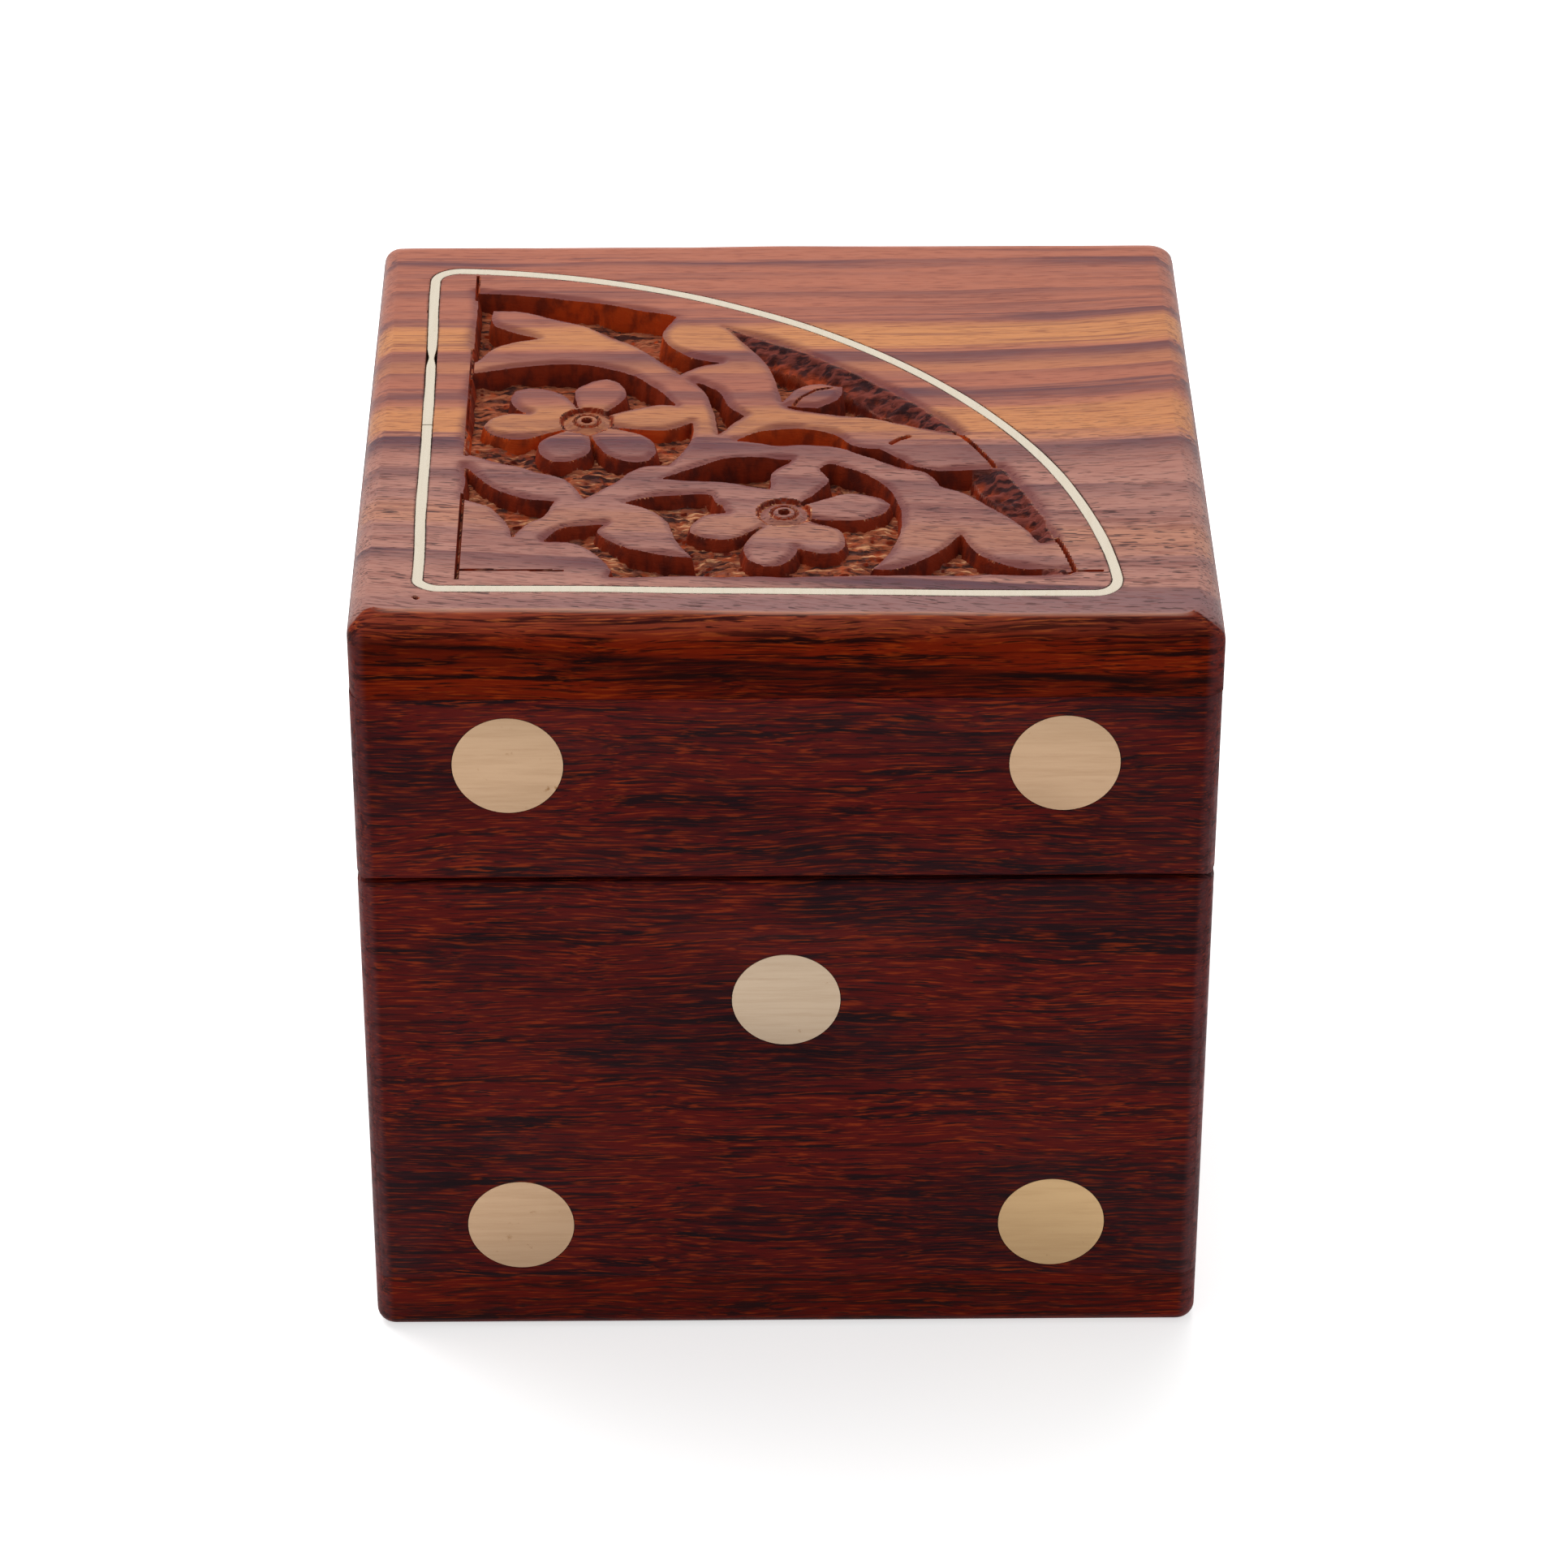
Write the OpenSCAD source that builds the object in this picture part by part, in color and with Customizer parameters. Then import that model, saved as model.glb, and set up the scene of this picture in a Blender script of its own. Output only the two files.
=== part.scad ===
// Wooden dice box with a hinged lid, brass pips and a carved, brass-lined top.
// Origin: centre of the underside. +X to the right, +Y to the back, +Z up. Millimetres.

/* [Box] */
// Width across the front
box_w = 64; // [58:0.5:76]
// Depth from front to back
box_d = 61; // [56:0.5:74]
// Height of the closed box
box_h = 64; // [58:0.5:80]
// Height of the base, from its underside to its rim
base_h = 41.6; // [36:0.2:46]
// Gap that shows between the base's rim and the lid's
seam_gap = 0.4; // [0.3:0.05:0.6]
// Thickness of the eight walls
wall_t = 6; // [5:0.25:8]
// Thickness of the carved top board
top_t = 6.3; // [5:0.1:9]
// Thickness of the bottom board
bottom_t = 5; // [3.5:0.25:7]

/* [Edges] */
// Radius of the four upright corners
corner_r = 1.5; // [0.8:0.1:3]
// How far the top's worn round starts in from the face
round_in = 1.8; // [1:0.1:2.5]
// How far the top's worn round comes down the face
round_down = 2.8; // [2.6:0.1:4]
// Radius of the round under the bottom board
foot_r = 1; // [0.4:0.1:2]
// Width of the small flats along the rims
rim_flat = 0.3; // [0.1:0.05:0.6]

/* [Pips] */
// Diameter of the brass pips
pip_d = 8.2; // [6:0.1:10]
// Length of the rod that each pip is cut to
pip_t = 3; // [2:0.1:4]
// Pip centre to the upright edge of its face
pip_side = 11.5; // [9:0.25:15]
// Upper pips' centre below the top of the box
pip_top = 12; // [11.5:0.25:14]
// Lower pips' centre above the underside
pip_foot = 10; // [8:0.25:13]
// Glue gap around and behind a pip or the strip
glue_gap = 0.05; // [0.02:0.01:0.08]

/* [Strip] */
// Width of the brass strip
strip_w = 0.8; // [0.5:0.05:1.4]
// Depth that the strip is let in
strip_t = 2; // [1:0.1:3]
// Left leg's centre line from the left face
strip_left = 4.8; // [4:0.1:7]
// Front leg's centre line from the front face
strip_front = 4.7; // [4:0.1:7]
// Front leg's right end from the right face
strip_right = 7.5; // [5:0.1:10]
// Left leg's back end from the back face
strip_back = 5.3; // [4:0.1:9]
// Radius of the strip's long arc
strip_arc_r = 53.6; // [50:0.2:66]
// Radius of the strip's three bends
strip_bend_r = 1.8; // [1.2:0.1:3]
// Butt joint's distance in front of the left leg's back end
strip_joint_y = 25.5; // [15:0.5:35]
// Opening of the butt joint
strip_joint_gap = 0.1; // [0.05:0.05:0.3]

/* [Carving] */
// Depth of the chiselled ground
carve_t = 1.7; // [1:0.1:3]
// Carved field's left edge from the strip's left leg
field_left = 3.1; // [2:0.1:5]
// Carved field's front edge from the strip's front leg
field_front = 2.5; // [1.6:0.1:4]
// Carved field's arc from the strip's arc
field_arc = 3.4; // [2.5:0.1:5]
// Width of the incised lines
line_w = 0.35; // [0.2:0.05:0.6]
// Depth of the incised lines
line_t = 0.8; // [0.4:0.1:1.2]
// Radius of the ring round a flower's eye
ring_r = 2; // [1.6:0.1:2.3]

/* [Hinge] */
// Length of the hinge along the seam
hinge_l = 25; // [20:0.5:34]
// Length of the middle knuckle, which the lid's leaf has
mid_knuckle_l = 8.4; // [6:0.2:10]
// Gap between two knuckles
knuckle_gap = 0.15; // [0.1:0.05:0.3]
// Thickness of a leaf
leaf_t = 0.8; // [0.7:0.05:1]
// Reach of a leaf into the rim, from the back face
leaf_w = 4.8; // [4.4:0.1:4.9]
// Gap between the closed leaves
leaf_gap = 0.1; // [0.05:0.05:0.2]
// Outside diameter of the knuckles
knuckle_d = 3.2; // [2.9:0.1:4]
// Diameter of the pin
pin_d = 1.6; // [1.2:0.1:1.8]
// Running clearance around the pin
pin_gap = 0.05; // [0.02:0.01:0.08]
// Diameter of the pin's peened heads
peen_d = 2.4; // [2:0.1:2.8]
// Thickness of the peened heads
peen_t = 0.5; // [0.3:0.1:0.8]
// Gap between the knuckles and the back of the box
back_gap = 0.12; // [0.1:0.02:0.3]

/* [Screws] */
// Distance between a leaf's two screws
screw_pitch = 16; // [13:0.5:18]
// Screw centre from the back face
screw_y = 2.6; // [2.3:0.1:2.8]
// Diameter of the screw shank
screw_d = 1.4; // [1.2:0.1:1.6]
// Diameter of the countersunk head
head_d = 2.7; // [2.5:0.1:2.9]
// Length of the screw under its head's face
screw_l = 6; // [5:0.25:9]
// Length of the screw's point
point_l = 1.2; // [0.8:0.1:1.6]
// Width of the driver slot
slot_w = 0.4; // [0.3:0.05:0.5]
// Depth of the driver slot
slot_t = 0.3; // [0.2:0.05:0.4]
// Clearance around the shank and the head
screw_gap = 0.05; // [0.03:0.01:0.08]

/* [Hidden] */
// Rounds are true circles at any $fn above 12
$fn = 64;
// Overshoot of cutters past the face that they cut
cut = 1;
lid_z = base_h + seam_gap;
lid_wall_h = box_h - top_t - lid_z;
base_wall_h = base_h - bottom_t;
top_z = box_h - top_t;
seam_z = base_h + seam_gap / 2;

// Sides of the box by the turn that brings the front round to them
FRONT = 0;
RIGHT = 90;
BACK = 180;
LEFT = 270;

// Rows of pips: on the lid, half way down, and at the foot
UP = box_h - pip_top;
LOW = pip_foot;
MID = (UP + LOW) / 2;

// Each pip: node name, side, place across the side (-1 left, 0 middle, 1 right), height
PIPS = [
    ["lid_pip_front_left", FRONT, -1, UP],
    ["lid_pip_front_right", FRONT, 1, UP],
    ["base_pip_front_middle", FRONT, 0, MID],
    ["base_pip_front_left", FRONT, -1, LOW],
    ["base_pip_front_right", FRONT, 1, LOW],
    ["lid_pip_back", BACK, -1, UP],
    ["base_pip_back", BACK, 1, LOW],
    ["lid_pip_left", LEFT, 1, UP],
    ["base_pip_left_middle", LEFT, 0, MID],
    ["base_pip_left_low", LEFT, -1, LOW],
    ["lid_pip_right_front", RIGHT, -1, UP],
    ["lid_pip_right_back", RIGHT, 1, UP],
    ["base_pip_right_front", RIGHT, -1, LOW],
    ["base_pip_right_back", RIGHT, 1, LOW]
];

// Strip's centre lines and the two points where its long arc would meet them
leg_x = -box_w / 2 + strip_left;
leg_y = -box_d / 2 + strip_front;
tip_x = box_w / 2 - strip_right;
tip_y = box_d / 2 - strip_back;
// Arc's centre, from its chord between those two points and its radius
chord = [tip_x - leg_x, leg_y - tip_y];
arc_c = [leg_x + tip_x, leg_y + tip_y] / 2
    + [chord[1], -chord[0]] / norm(chord) * sqrt(pow(strip_arc_r, 2) - pow(norm(chord) / 2, 2));

// Carved field: its corner, and its scale against the 45 mm field that the ornament is drawn on
field_x = leg_x + field_left;
field_y = leg_y + field_front;
field_r = strip_arc_r - field_arc;
ORNAMENT = 45;
field_w = arc_c[0] + sqrt(pow(field_r, 2) - pow(field_y - arc_c[1], 2)) - field_x;
field_d = arc_c[1] + sqrt(pow(field_r, 2) - pow(field_x - arc_c[0], 2)) - field_y;
ornament_k = min(field_w, field_d) / ORNAMENT;

// Hinge axis, a leaf's outer face from the middle of the seam, and the outer knuckles' length
axis_y = box_d / 2 + back_gap + knuckle_d / 2;
leaf_out = leaf_gap / 2 + leaf_t;
side_knuckle_l = (hinge_l - mid_knuckle_l) / 2 - knuckle_gap;
// Room round the other leaf's knuckles in a leaf's edge
notch_r = knuckle_d / 2 + back_gap;

// Outline of the box with its rounded upright corners
module box_outline() {
    r = corner_r;
    square([box_w - 2 * r, box_d], center = true);
    square([box_w, box_d - 2 * r], center = true);
    for (x = [-1, 1], y = [-1, 1])
        translate([x * (box_w / 2 - r), y * (box_d / 2 - r)])
            circle(r);
}

// Half the box's size across a side's own direction, and half its width along the side
function half_out(side) = (side == FRONT || side == BACK) ? box_d / 2 : box_w / 2;
function half_along(side) = (side == FRONT || side == BACK) ? box_w / 2 : box_d / 2;

// Stands on a side: X runs to its right, Y into the box, and the face is at Y = 0
module on_side(side) {
    rotate([0, 0, side])
        translate([0, -half_out(side), 0])
            children();
}

// Part of the plan that belongs to one wall, between the mitres at its two ends
module mitred_plan(side) {
    a = half_along(side);
    on_side(side)
        polygon([[-a - cut, -cut], [a + cut, -cut], [a - wall_t, wall_t], [wall_t - a, wall_t]]);
}

// Cutter for the flat along an outer rim edge at height z, above or below it
module rim_flats(z) {
    for (side = [FRONT, RIGHT, BACK, LEFT])
        on_side(side)
            translate([0, 0, z])
                rotate([45, 0, 0])
                    cube([2 * half_along(side), sqrt(2) * rim_flat, sqrt(2) * rim_flat], center = true);
}

// One wall, from z0 up by h, with its pip sockets and the flat on its rim edge
module wall(side, z0, h, rim_z) {
    difference() {
        translate([0, 0, z0])
            linear_extrude(h)
                intersection() {
                    box_outline();
                    mitred_plan(side);
                }
        rim_flats(rim_z);
        for (p = PIPS)
            if (p[1] == side && p[3] > z0 && p[3] < z0 + h)
                pip_socket(p);
    }
}

// Stands at a pip's place on its side, with the pip's axis pointing into the wall as Z
module at_pip(p) {
    on_side(p[1])
        translate([p[2] * (half_along(p[1]) - pip_side), 0, p[3]])
            rotate([-90, 0, 0])
                children();
}

module pip_socket(p) {
    at_pip(p)
        translate([0, 0, -cut])
            cylinder(h = cut + pip_t + glue_gap, d = pip_d + 2 * glue_gap);
}

module pip(p) {
    color("tan")
        at_pip(p)
            cylinder(h = pip_t, d = pip_d);
}

// Recess for a leaf in a back wall's rim; up is 1 over the seam and -1 under it
module leaf_mortise(up) {
    half = hinge_l / 2 + glue_gap;
    height = leaf_out + glue_gap;
    translate([-half, box_d / 2 - leaf_w - glue_gap, up > 0 ? seam_z : seam_z - height])
        cube([2 * half, leaf_w + cut, height]);
}

// Pilot holes for a leaf's screws
module screw_pilots(up) {
    at_screws(up)
        translate([0, 0, -cut])
            cylinder(h = screw_l + cut + glue_gap, d = screw_d + 2 * screw_gap);
}

// Stands at each screw of a leaf, at its head's face with Z pointing along the screw
module at_screws(up) {
    for (x = [-1, 1])
        translate([x * screw_pitch / 2, box_d / 2 - screw_y, seam_z + up * (leaf_gap / 2 + screw_gap)])
            mirror([0, 0, up > 0 ? 0 : 1])
                children();
}

module base_wall(side) {
    color("saddlebrown")
        wall(side, bottom_t, base_wall_h, base_h);
}

module lid_wall(side) {
    color("sienna")
        wall(side, lid_z, lid_wall_h, lid_z);
}

module base_back_wall() {
    difference() {
        base_wall(BACK);
        leaf_mortise(-1);
        screw_pilots(-1);
    }
}

module lid_back_wall() {
    difference() {
        lid_wall(BACK);
        leaf_mortise(1);
        screw_pilots(1);
    }
}

// Cutter that leaves a quarter round under one edge of the bottom board
module foot_round(side) {
    a = half_along(side) + cut;
    on_side(side)
        rotate([90, 0, 90])
            translate([0, 0, -a])
                linear_extrude(2 * a)
                    difference() {
                        translate([-cut, -cut])
                            square(cut + foot_r);
                        translate([foot_r, foot_r])
                            circle(foot_r);
                    }
}

module bottom_board() {
    color("saddlebrown")
        difference() {
            linear_extrude(bottom_t)
                box_outline();
            for (side = [FRONT, RIGHT, BACK, LEFT])
                foot_round(side);
        }
}

// Cutter for the worn round along one top edge: an arc that leaves the face smoothly
// and meets the top in a soft arris, round_in from the face
module top_round(side) {
    a = half_along(side) + cut;
    r = (pow(round_in, 2) + pow(round_down, 2)) / (2 * round_in);
    on_side(side)
        rotate([90, 0, 90])
            translate([0, box_h - round_down, -a])
                linear_extrude(2 * a)
                    difference() {
                        translate([-cut, 0])
                            square([cut + round_in, round_down + cut]);
                        translate([r, 0])
                            circle(r);
                    }
}

// Reach of the wedge that cuts a corner of the sector off, well past the corner's point
WEDGE_REACH = 8;

// Centre of the bend between two of the strip's lines
function bend_c(i) =
    i == 0 ? [leg_x, leg_y] + [strip_bend_r, strip_bend_r] :
    i == 1 ? let (x = leg_x + strip_bend_r)
        [x, arc_c[1] + sqrt(pow(strip_arc_r - strip_bend_r, 2) - pow(x - arc_c[0], 2))] :
    let (y = leg_y + strip_bend_r)
        [arc_c[0] + sqrt(pow(strip_arc_r - strip_bend_r, 2) - pow(y - arc_c[1], 2)), y];

// Takes the sharp corner off between two outward directions and puts a round there
module round_corner(c, out_a, out_b, r) {
    far_a = WEDGE_REACH * out_a;
    far_b = WEDGE_REACH * out_b;
    difference() {
        children();
        polygon([c, c + far_a, c + far_a + far_b, c + far_b]);
    }
    translate(c)
        circle(r);
}

// Plan inside the strip's centre line, drawn in by inset, with its three bends
module sector(inset = 0) {
    r = strip_bend_r - inset;
    left = [-1, 0];
    front = [0, -1];
    out_back = (bend_c(1) - arc_c) / norm(bend_c(1) - arc_c);
    out_right = (bend_c(2) - arc_c) / norm(bend_c(2) - arc_c);
    round_corner(bend_c(0), left, front, r)
        round_corner(bend_c(1), left, out_back, r)
            round_corner(bend_c(2), front, out_right, r)
                intersection() {
                    translate([leg_x + inset, leg_y + inset])
                        square([box_w, box_d]);
                    translate(arc_c)
                        circle(strip_arc_r - inset);
                }
}

// Plan of the strip, or of its groove when it is wider by the glue gap
module strip_plan(gap = 0) {
    difference() {
        sector(-strip_w / 2 - gap);
        sector(strip_w / 2 + gap);
    }
}

module inlay_strip() {
    color("lightgoldenrodyellow")
        difference() {
            translate([0, 0, box_h - strip_t])
                linear_extrude(strip_t)
                    strip_plan();
            translate([leg_x, tip_y - strip_joint_y, box_h - strip_t / 2])
                cube([2 * strip_w, strip_joint_gap, strip_t + 2 * cut], center = true);
        }
}

// Ornament of two flowers among curling leaves, drawn on a field of 45 by 45 with its
// corner at 0,0. The land stands at the top of the board and the pools between are sunk.
// A point with a third number is a sharp corner; the curve runs smoothly through the rest.
// Pools that end at the field's edge are drawn past it, and the field cuts them off there.
CROWN_POOL = [
    [-1, 47, 1], [13, 45, 1], [16.4, 41.6, 1], [14.9, 38], [15.6, 35.6], [17.6, 33.8], [19.4, 33.2, 1], [17.6, 32.4], [16.3, 31.2, 1],
    [15, 32.9], [12.1, 36.3], [7.6, 39.8], [3.4, 41.7], [1.3, 42, 1],
    [1.6, 39.4], [5.1, 37.1, 1], [2, 35.9], [0.3, 33.4], [-1, 32.4, 1]
];
EYE_POOL = [
    [-1, 30.9, 1], [1.6, 31.9], [6.6, 33], [11.1, 32], [14.3, 29.1], [15.9, 26.2],
    [17.1, 24], [17.3, 21.5], [16.7, 19.2], [15.5, 16.8, 1],
    [13.3, 16.4], [11.1, 13.7], [9.2, 11.6, 1],
    [7.7, 14.3], [5.2, 15.8], [2.1, 17.6], [-1, 19, 1]
];
SLIVER_POOL = [
    [17.4, 30.1, 1], [19.2, 28.4], [20, 26.1], [21.3, 24.5, 1], [20.2, 22.9], [19.2, 21.5, 1],
    [19, 24.4], [18.3, 27.8]
];
ARC_POOL = [
    [18.9, 39.8, 1], [31, 37, 1], [41, 25, 1], [39.6, 20.9, 1], [36.8, 21.8], [34.1, 22.7], [30.1, 24.1], [26.1, 25.2], [24.7, 25.8, 1], [24.1, 27, 1],
    [23.5, 30.8], [22.4, 34.2], [20.6, 37.4]
];
BUD_LAND = [[24, 26.2, 1], [25, 28.3], [26.6, 29.3], [28.9, 29.2, 1], [28.6, 27.2], [27, 25.7, 1]];
LEAF_POOL = [
    [20.5, 20.4, 1], [22.3, 21.7], [24.6, 22.5], [28.1, 21.5], [29.6, 19.6], [31.5, 19, 1],
    [33, 17.6], [34.9, 15.9], [37.6, 15.8], [42, 16.1, 1], [47, 12, 1], [47, 5.6, 1], [43.2, 4.7, 1],
    [41.1, 8.3], [38.3, 11.6], [36, 13.4, 1], [35, 15.3], [31.6, 17.1], [28.6, 19.1],
    [26.1, 19.7], [23.1, 19.8]
];
STEM_POOL = [
    [14.9, 14.4, 1], [17.6, 16.5], [20.1, 17.7], [22.6, 17.8], [24.9, 17.6, 1],
    [23.7, 15.5], [23.1, 12.9, 1], [20.6, 13.8], [17.6, 14.2]
];
FOOT_POOL = [
    [12.1, 10.9, 1], [14.1, 11.9], [18.3, 12.2], [19.2, 10.7], [21.8, 9.9, 1],
    [24.1, 10.3, 1], [26.1, 11.7, 1], [27.5, 13.9], [26.9, 16, 1],
    [28, 16.7], [30.8, 14.6], [32.4, 12.2], [33, 9.3], [32.8, 6.2], [31.8, 3.2], [30.6, 1.1, 1],
    [32.6, 1.2], [35.4, 3.2], [37.3, 5.9, 1], [38.6, 3], [41.1, 1.2], [46, 0.7, 1],
    [47, -1, 1], [11, -1, 1], [11.3, 0.9, 1],
    [10.3, 3], [8.6, 4.9], [6.1, 5.4, 1], [7.6, 7.2], [10.8, 7.9, 1],
    [10.3, 6.3], [12.6, 4], [15.1, 3.2], [17.3, 2.7, 1],
    [16.2, 4.9], [15.4, 8], [14.1, 9.8]
];
HEEL_POOL = [
    [-1, 18.2, 1], [0.4, 16.3], [2, 13.6], [4.6, 11.8], [6.9, 11.2, 1],
    [6.2, 9.1], [4.9, 7.8], [3.8, 6, 1], [3.3, 8.4], [1.7, 10.6], [-1, 12, 1]
];
POOLS = [
    CROWN_POOL, EYE_POOL, SLIVER_POOL, ARC_POOL, LEAF_POOL, STEM_POOL, FOOT_POOL, HEEL_POOL
];

// Each flower: centre, and for each petal its direction and its length; the last one is the stem
FLOWERS = [
    [[9.1, 23.4], [[137, 7.7], [78, 7.2], [-50, 7.6], [-113, 6.5], [184, 8], [8, 8.6]]],
    [[24.1, 9.2], [[10, 8.2], [-56, 7], [-101, 8], [-158, 7.5], [79, 8.4], [150, 5]]]
];
// Widest part of a petal, and its share of the petal's length from the eye
PETAL_W = 4;
PETAL_AT = 0.62;
// Petal's foot: its place as a share of the ring's radius, and its width
FOOT_AT = 0.6;
FOOT_W = 1.2;
// Petal's shoulder before its tip: its share of the length, and of the widest part
SHOULDER_AT = 0.9;
SHOULDER_W = 0.64;

// Straight pieces that the curve between two of an outline's points is cut into
CURVE_STEPS = 4;

// Cubic through b and c that takes its slopes from the points on either side
function curve(a, b, c, d, t) =
    0.5 * (2 * b + (c - a) * t + (2 * a - 5 * b + 4 * c - d) * t * t
    + (3 * b - a - 3 * c + d) * t * t * t);
function xy(p) = [p[0], p[1]];
function is_corner(p) = len(p) == 3;

// Closed outline through the points, smooth except at the corners
function outline(pts) = [
    for (i = [0 : len(pts) - 1])
        let (
            n = len(pts),
            b = pts[i],
            c = pts[(i + 1) % n],
            a = is_corner(b) ? b : pts[(i + n - 1) % n],
            d = is_corner(c) ? c : pts[(i + 2) % n],
            count = is_corner(b) && is_corner(c) ? 1 : CURVE_STEPS
        )
            for (k = [0 : count - 1])
                curve(xy(a), xy(b), xy(c), xy(d), k / count)
];

// Petal along X from the eye, narrow at its foot, widest past its middle, softly pointed
function petal(length) = let (
    foot = [ring_r / ornament_k * FOOT_AT, FOOT_W / 2],
    wide = [length * PETAL_AT, PETAL_W / 2],
    shoulder = [length * SHOULDER_AT, wide[1] * SHOULDER_W]
) outline([
    foot, wide, shoulder, [length, 0, 1],
    [shoulder[0], -shoulder[1]], [wide[0], -wide[1]], [foot[0], -foot[1]]
]);

module flower(f) {
    translate(f[0]) {
        circle(ring_r / ornament_k);
        for (p = f[1])
            rotate(p[0])
                polygon(petal(p[1]));
    }
}

// Plan of the sunk ground on the board
module ground_plan() {
    intersection() {
        translate([field_x, field_y])
            scale(ornament_k)
                difference() {
                    for (pool = POOLS)
                        polygon(outline(pool));
                    polygon(outline(BUD_LAND));
                    for (f = FLOWERS)
                        flower(f);
                }
        field();
    }
}

// Field that the carving stays inside, drawn in by inset
module field(inset = 0) {
    intersection() {
        translate([field_x + inset, field_y + inset])
            square([box_w, box_d]);
        translate(arc_c)
            circle(field_r - inset);
    }
}

// Stretches of the field's arc that show as a knife line, by their heights on the ornament
ARC_LINES = [[-1, 5], [15, 22]];

// Lines cut with the knife along the field's left and front edges, out to the strip, and its arc
module incised_plan() {
    half = line_w / 2;
    intersection() {
        sector(strip_w);
        union() {
            translate([field_x - half, field_y - strip_w])
                square([line_w, box_d]);
            translate([field_x - half, field_y - half])
                square([box_w, line_w]);
        }
    }
    for (span = ARC_LINES)
        intersection() {
            difference() {
                field(-half);
                field(half);
            }
            translate([0, field_y + ornament_k * span[0]])
                square([box_w, ornament_k * (span[1] - span[0])]);
        }
}

// Ring and eye cut into the middle of each flower, a little inside the button's edge
module flower_eyes() {
    for (f = FLOWERS)
        translate([field_x, field_y] + ornament_k * f[0]) {
            difference() {
                circle(ring_r - line_w);
                circle(ring_r - 2 * line_w);
            }
            circle(line_w);
        }
}

// Cuts a plan into the top of the board
module sink(depth) {
    translate([0, 0, box_h - depth])
        linear_extrude(depth + cut)
            children();
}

module top_board() {
    color("peru")
        difference() {
            translate([0, 0, top_z])
                linear_extrude(top_t)
                    box_outline();
            for (side = [FRONT, RIGHT, BACK, LEFT])
                top_round(side);
            sink(strip_t + glue_gap)
                strip_plan(glue_gap);
            sink(carve_t)
                ground_plan();
            sink(line_t) {
                incised_plan();
                flower_eyes();
            }
        }
}

// Leaf on one rim with knuckles at the given places; up is 1 for the lid's leaf
module leaf(up, knuckles, other_knuckles) {
    leaf_z = up > 0 ? leaf_gap / 2 : -leaf_out;
    color("goldenrod")
        difference() {
            union() {
                translate([-hinge_l / 2, box_d / 2 - leaf_w, seam_z + leaf_z])
                    cube([hinge_l, leaf_w, leaf_t]);
                for (k = knuckles) {
                    translate([k[0], box_d / 2 - cut, seam_z + leaf_z])
                        cube([k[1], axis_y - box_d / 2 + cut, leaf_t]);
                    knuckle(k, knuckle_d);
                }
            }
            for (k = knuckles)
                knuckle([k[0] - cut, k[1] + 2 * cut], pin_d + 2 * pin_gap);
            for (k = other_knuckles)
                knuckle([k[0] - knuckle_gap, k[1] + 2 * knuckle_gap], 2 * notch_r);
            at_screws(up) {
                translate([0, 0, -cut])
                    cylinder(h = leaf_t + 2 * cut, d = screw_d + 2 * screw_gap);
                countersink();
            }
        }
}

// Cone for a screw's head, open towards the other leaf
module countersink() {
    r = head_d / 2 + screw_gap;
    translate([0, 0, -screw_gap])
        cylinder(h = r, r1 = r, r2 = 0);
    translate([0, 0, -cut - screw_gap])
        cylinder(h = cut, r = r);
}

// Round bar on the hinge axis over a knuckle's span [start, length]
module knuckle(k, d) {
    translate([k[0], axis_y, seam_z])
        rotate([0, 90, 0])
            cylinder(h = k[1], d = d);
}

MID_KNUCKLE = [[-mid_knuckle_l / 2, mid_knuckle_l]];
SIDE_KNUCKLES = [
    [-hinge_l / 2, side_knuckle_l],
    [hinge_l / 2 - side_knuckle_l, side_knuckle_l]
];

module hinge_base_leaf() {
    leaf(-1, SIDE_KNUCKLES, MID_KNUCKLE);
}

module hinge_lid_leaf() {
    leaf(1, MID_KNUCKLE, SIDE_KNUCKLES);
}

// Pin with both ends peened over just outside the knuckles
module hinge_pin() {
    reach = hinge_l / 2 + pin_gap;
    color("darkgoldenrod") {
        knuckle([-reach, 2 * reach], pin_d);
        for (s = [-1, 1])
            knuckle([s * (reach + peen_t / 2) - peen_t / 2, peen_t], peen_d);
    }
}

// Countersunk wood screw, its head's face at Z = 0 and its point along Z
module screw() {
    neck = (head_d - screw_d) / 2;
    tip_d = screw_d / 4;
    difference() {
        union() {
            cylinder(h = neck, d1 = head_d, d2 = screw_d);
            translate([0, 0, neck])
                cylinder(h = screw_l - point_l - neck, d = screw_d);
            translate([0, 0, screw_l - point_l])
                cylinder(h = point_l, d1 = screw_d, d2 = tip_d);
        }
        cube([head_d + cut, slot_w, 2 * slot_t], center = true);
    }
}

module hinge_screws(up) {
    color("gold")
        at_screws(up)
            screw();
}

bottom_board();
base_wall(FRONT);  // base_front_wall
base_wall(RIGHT);  // base_right_wall
base_back_wall();
base_wall(LEFT);  // base_left_wall
lid_wall(FRONT);  // lid_front_wall
lid_wall(RIGHT);  // lid_right_wall
lid_back_wall();
lid_wall(LEFT);  // lid_left_wall
top_board();
inlay_strip();
hinge_base_leaf();
hinge_lid_leaf();
hinge_pin();
hinge_screws(-1);  // base_hinge_screws
hinge_screws(1);  // lid_hinge_screws
for (p = PIPS)
    pip(p);
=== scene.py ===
"""Looks of the wooden dice box: carved top, brass strip and pips, oiled rosewood, soft studio light."""
import math

import bpy
import numpy as np
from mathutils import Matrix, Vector, kdtree


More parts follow.
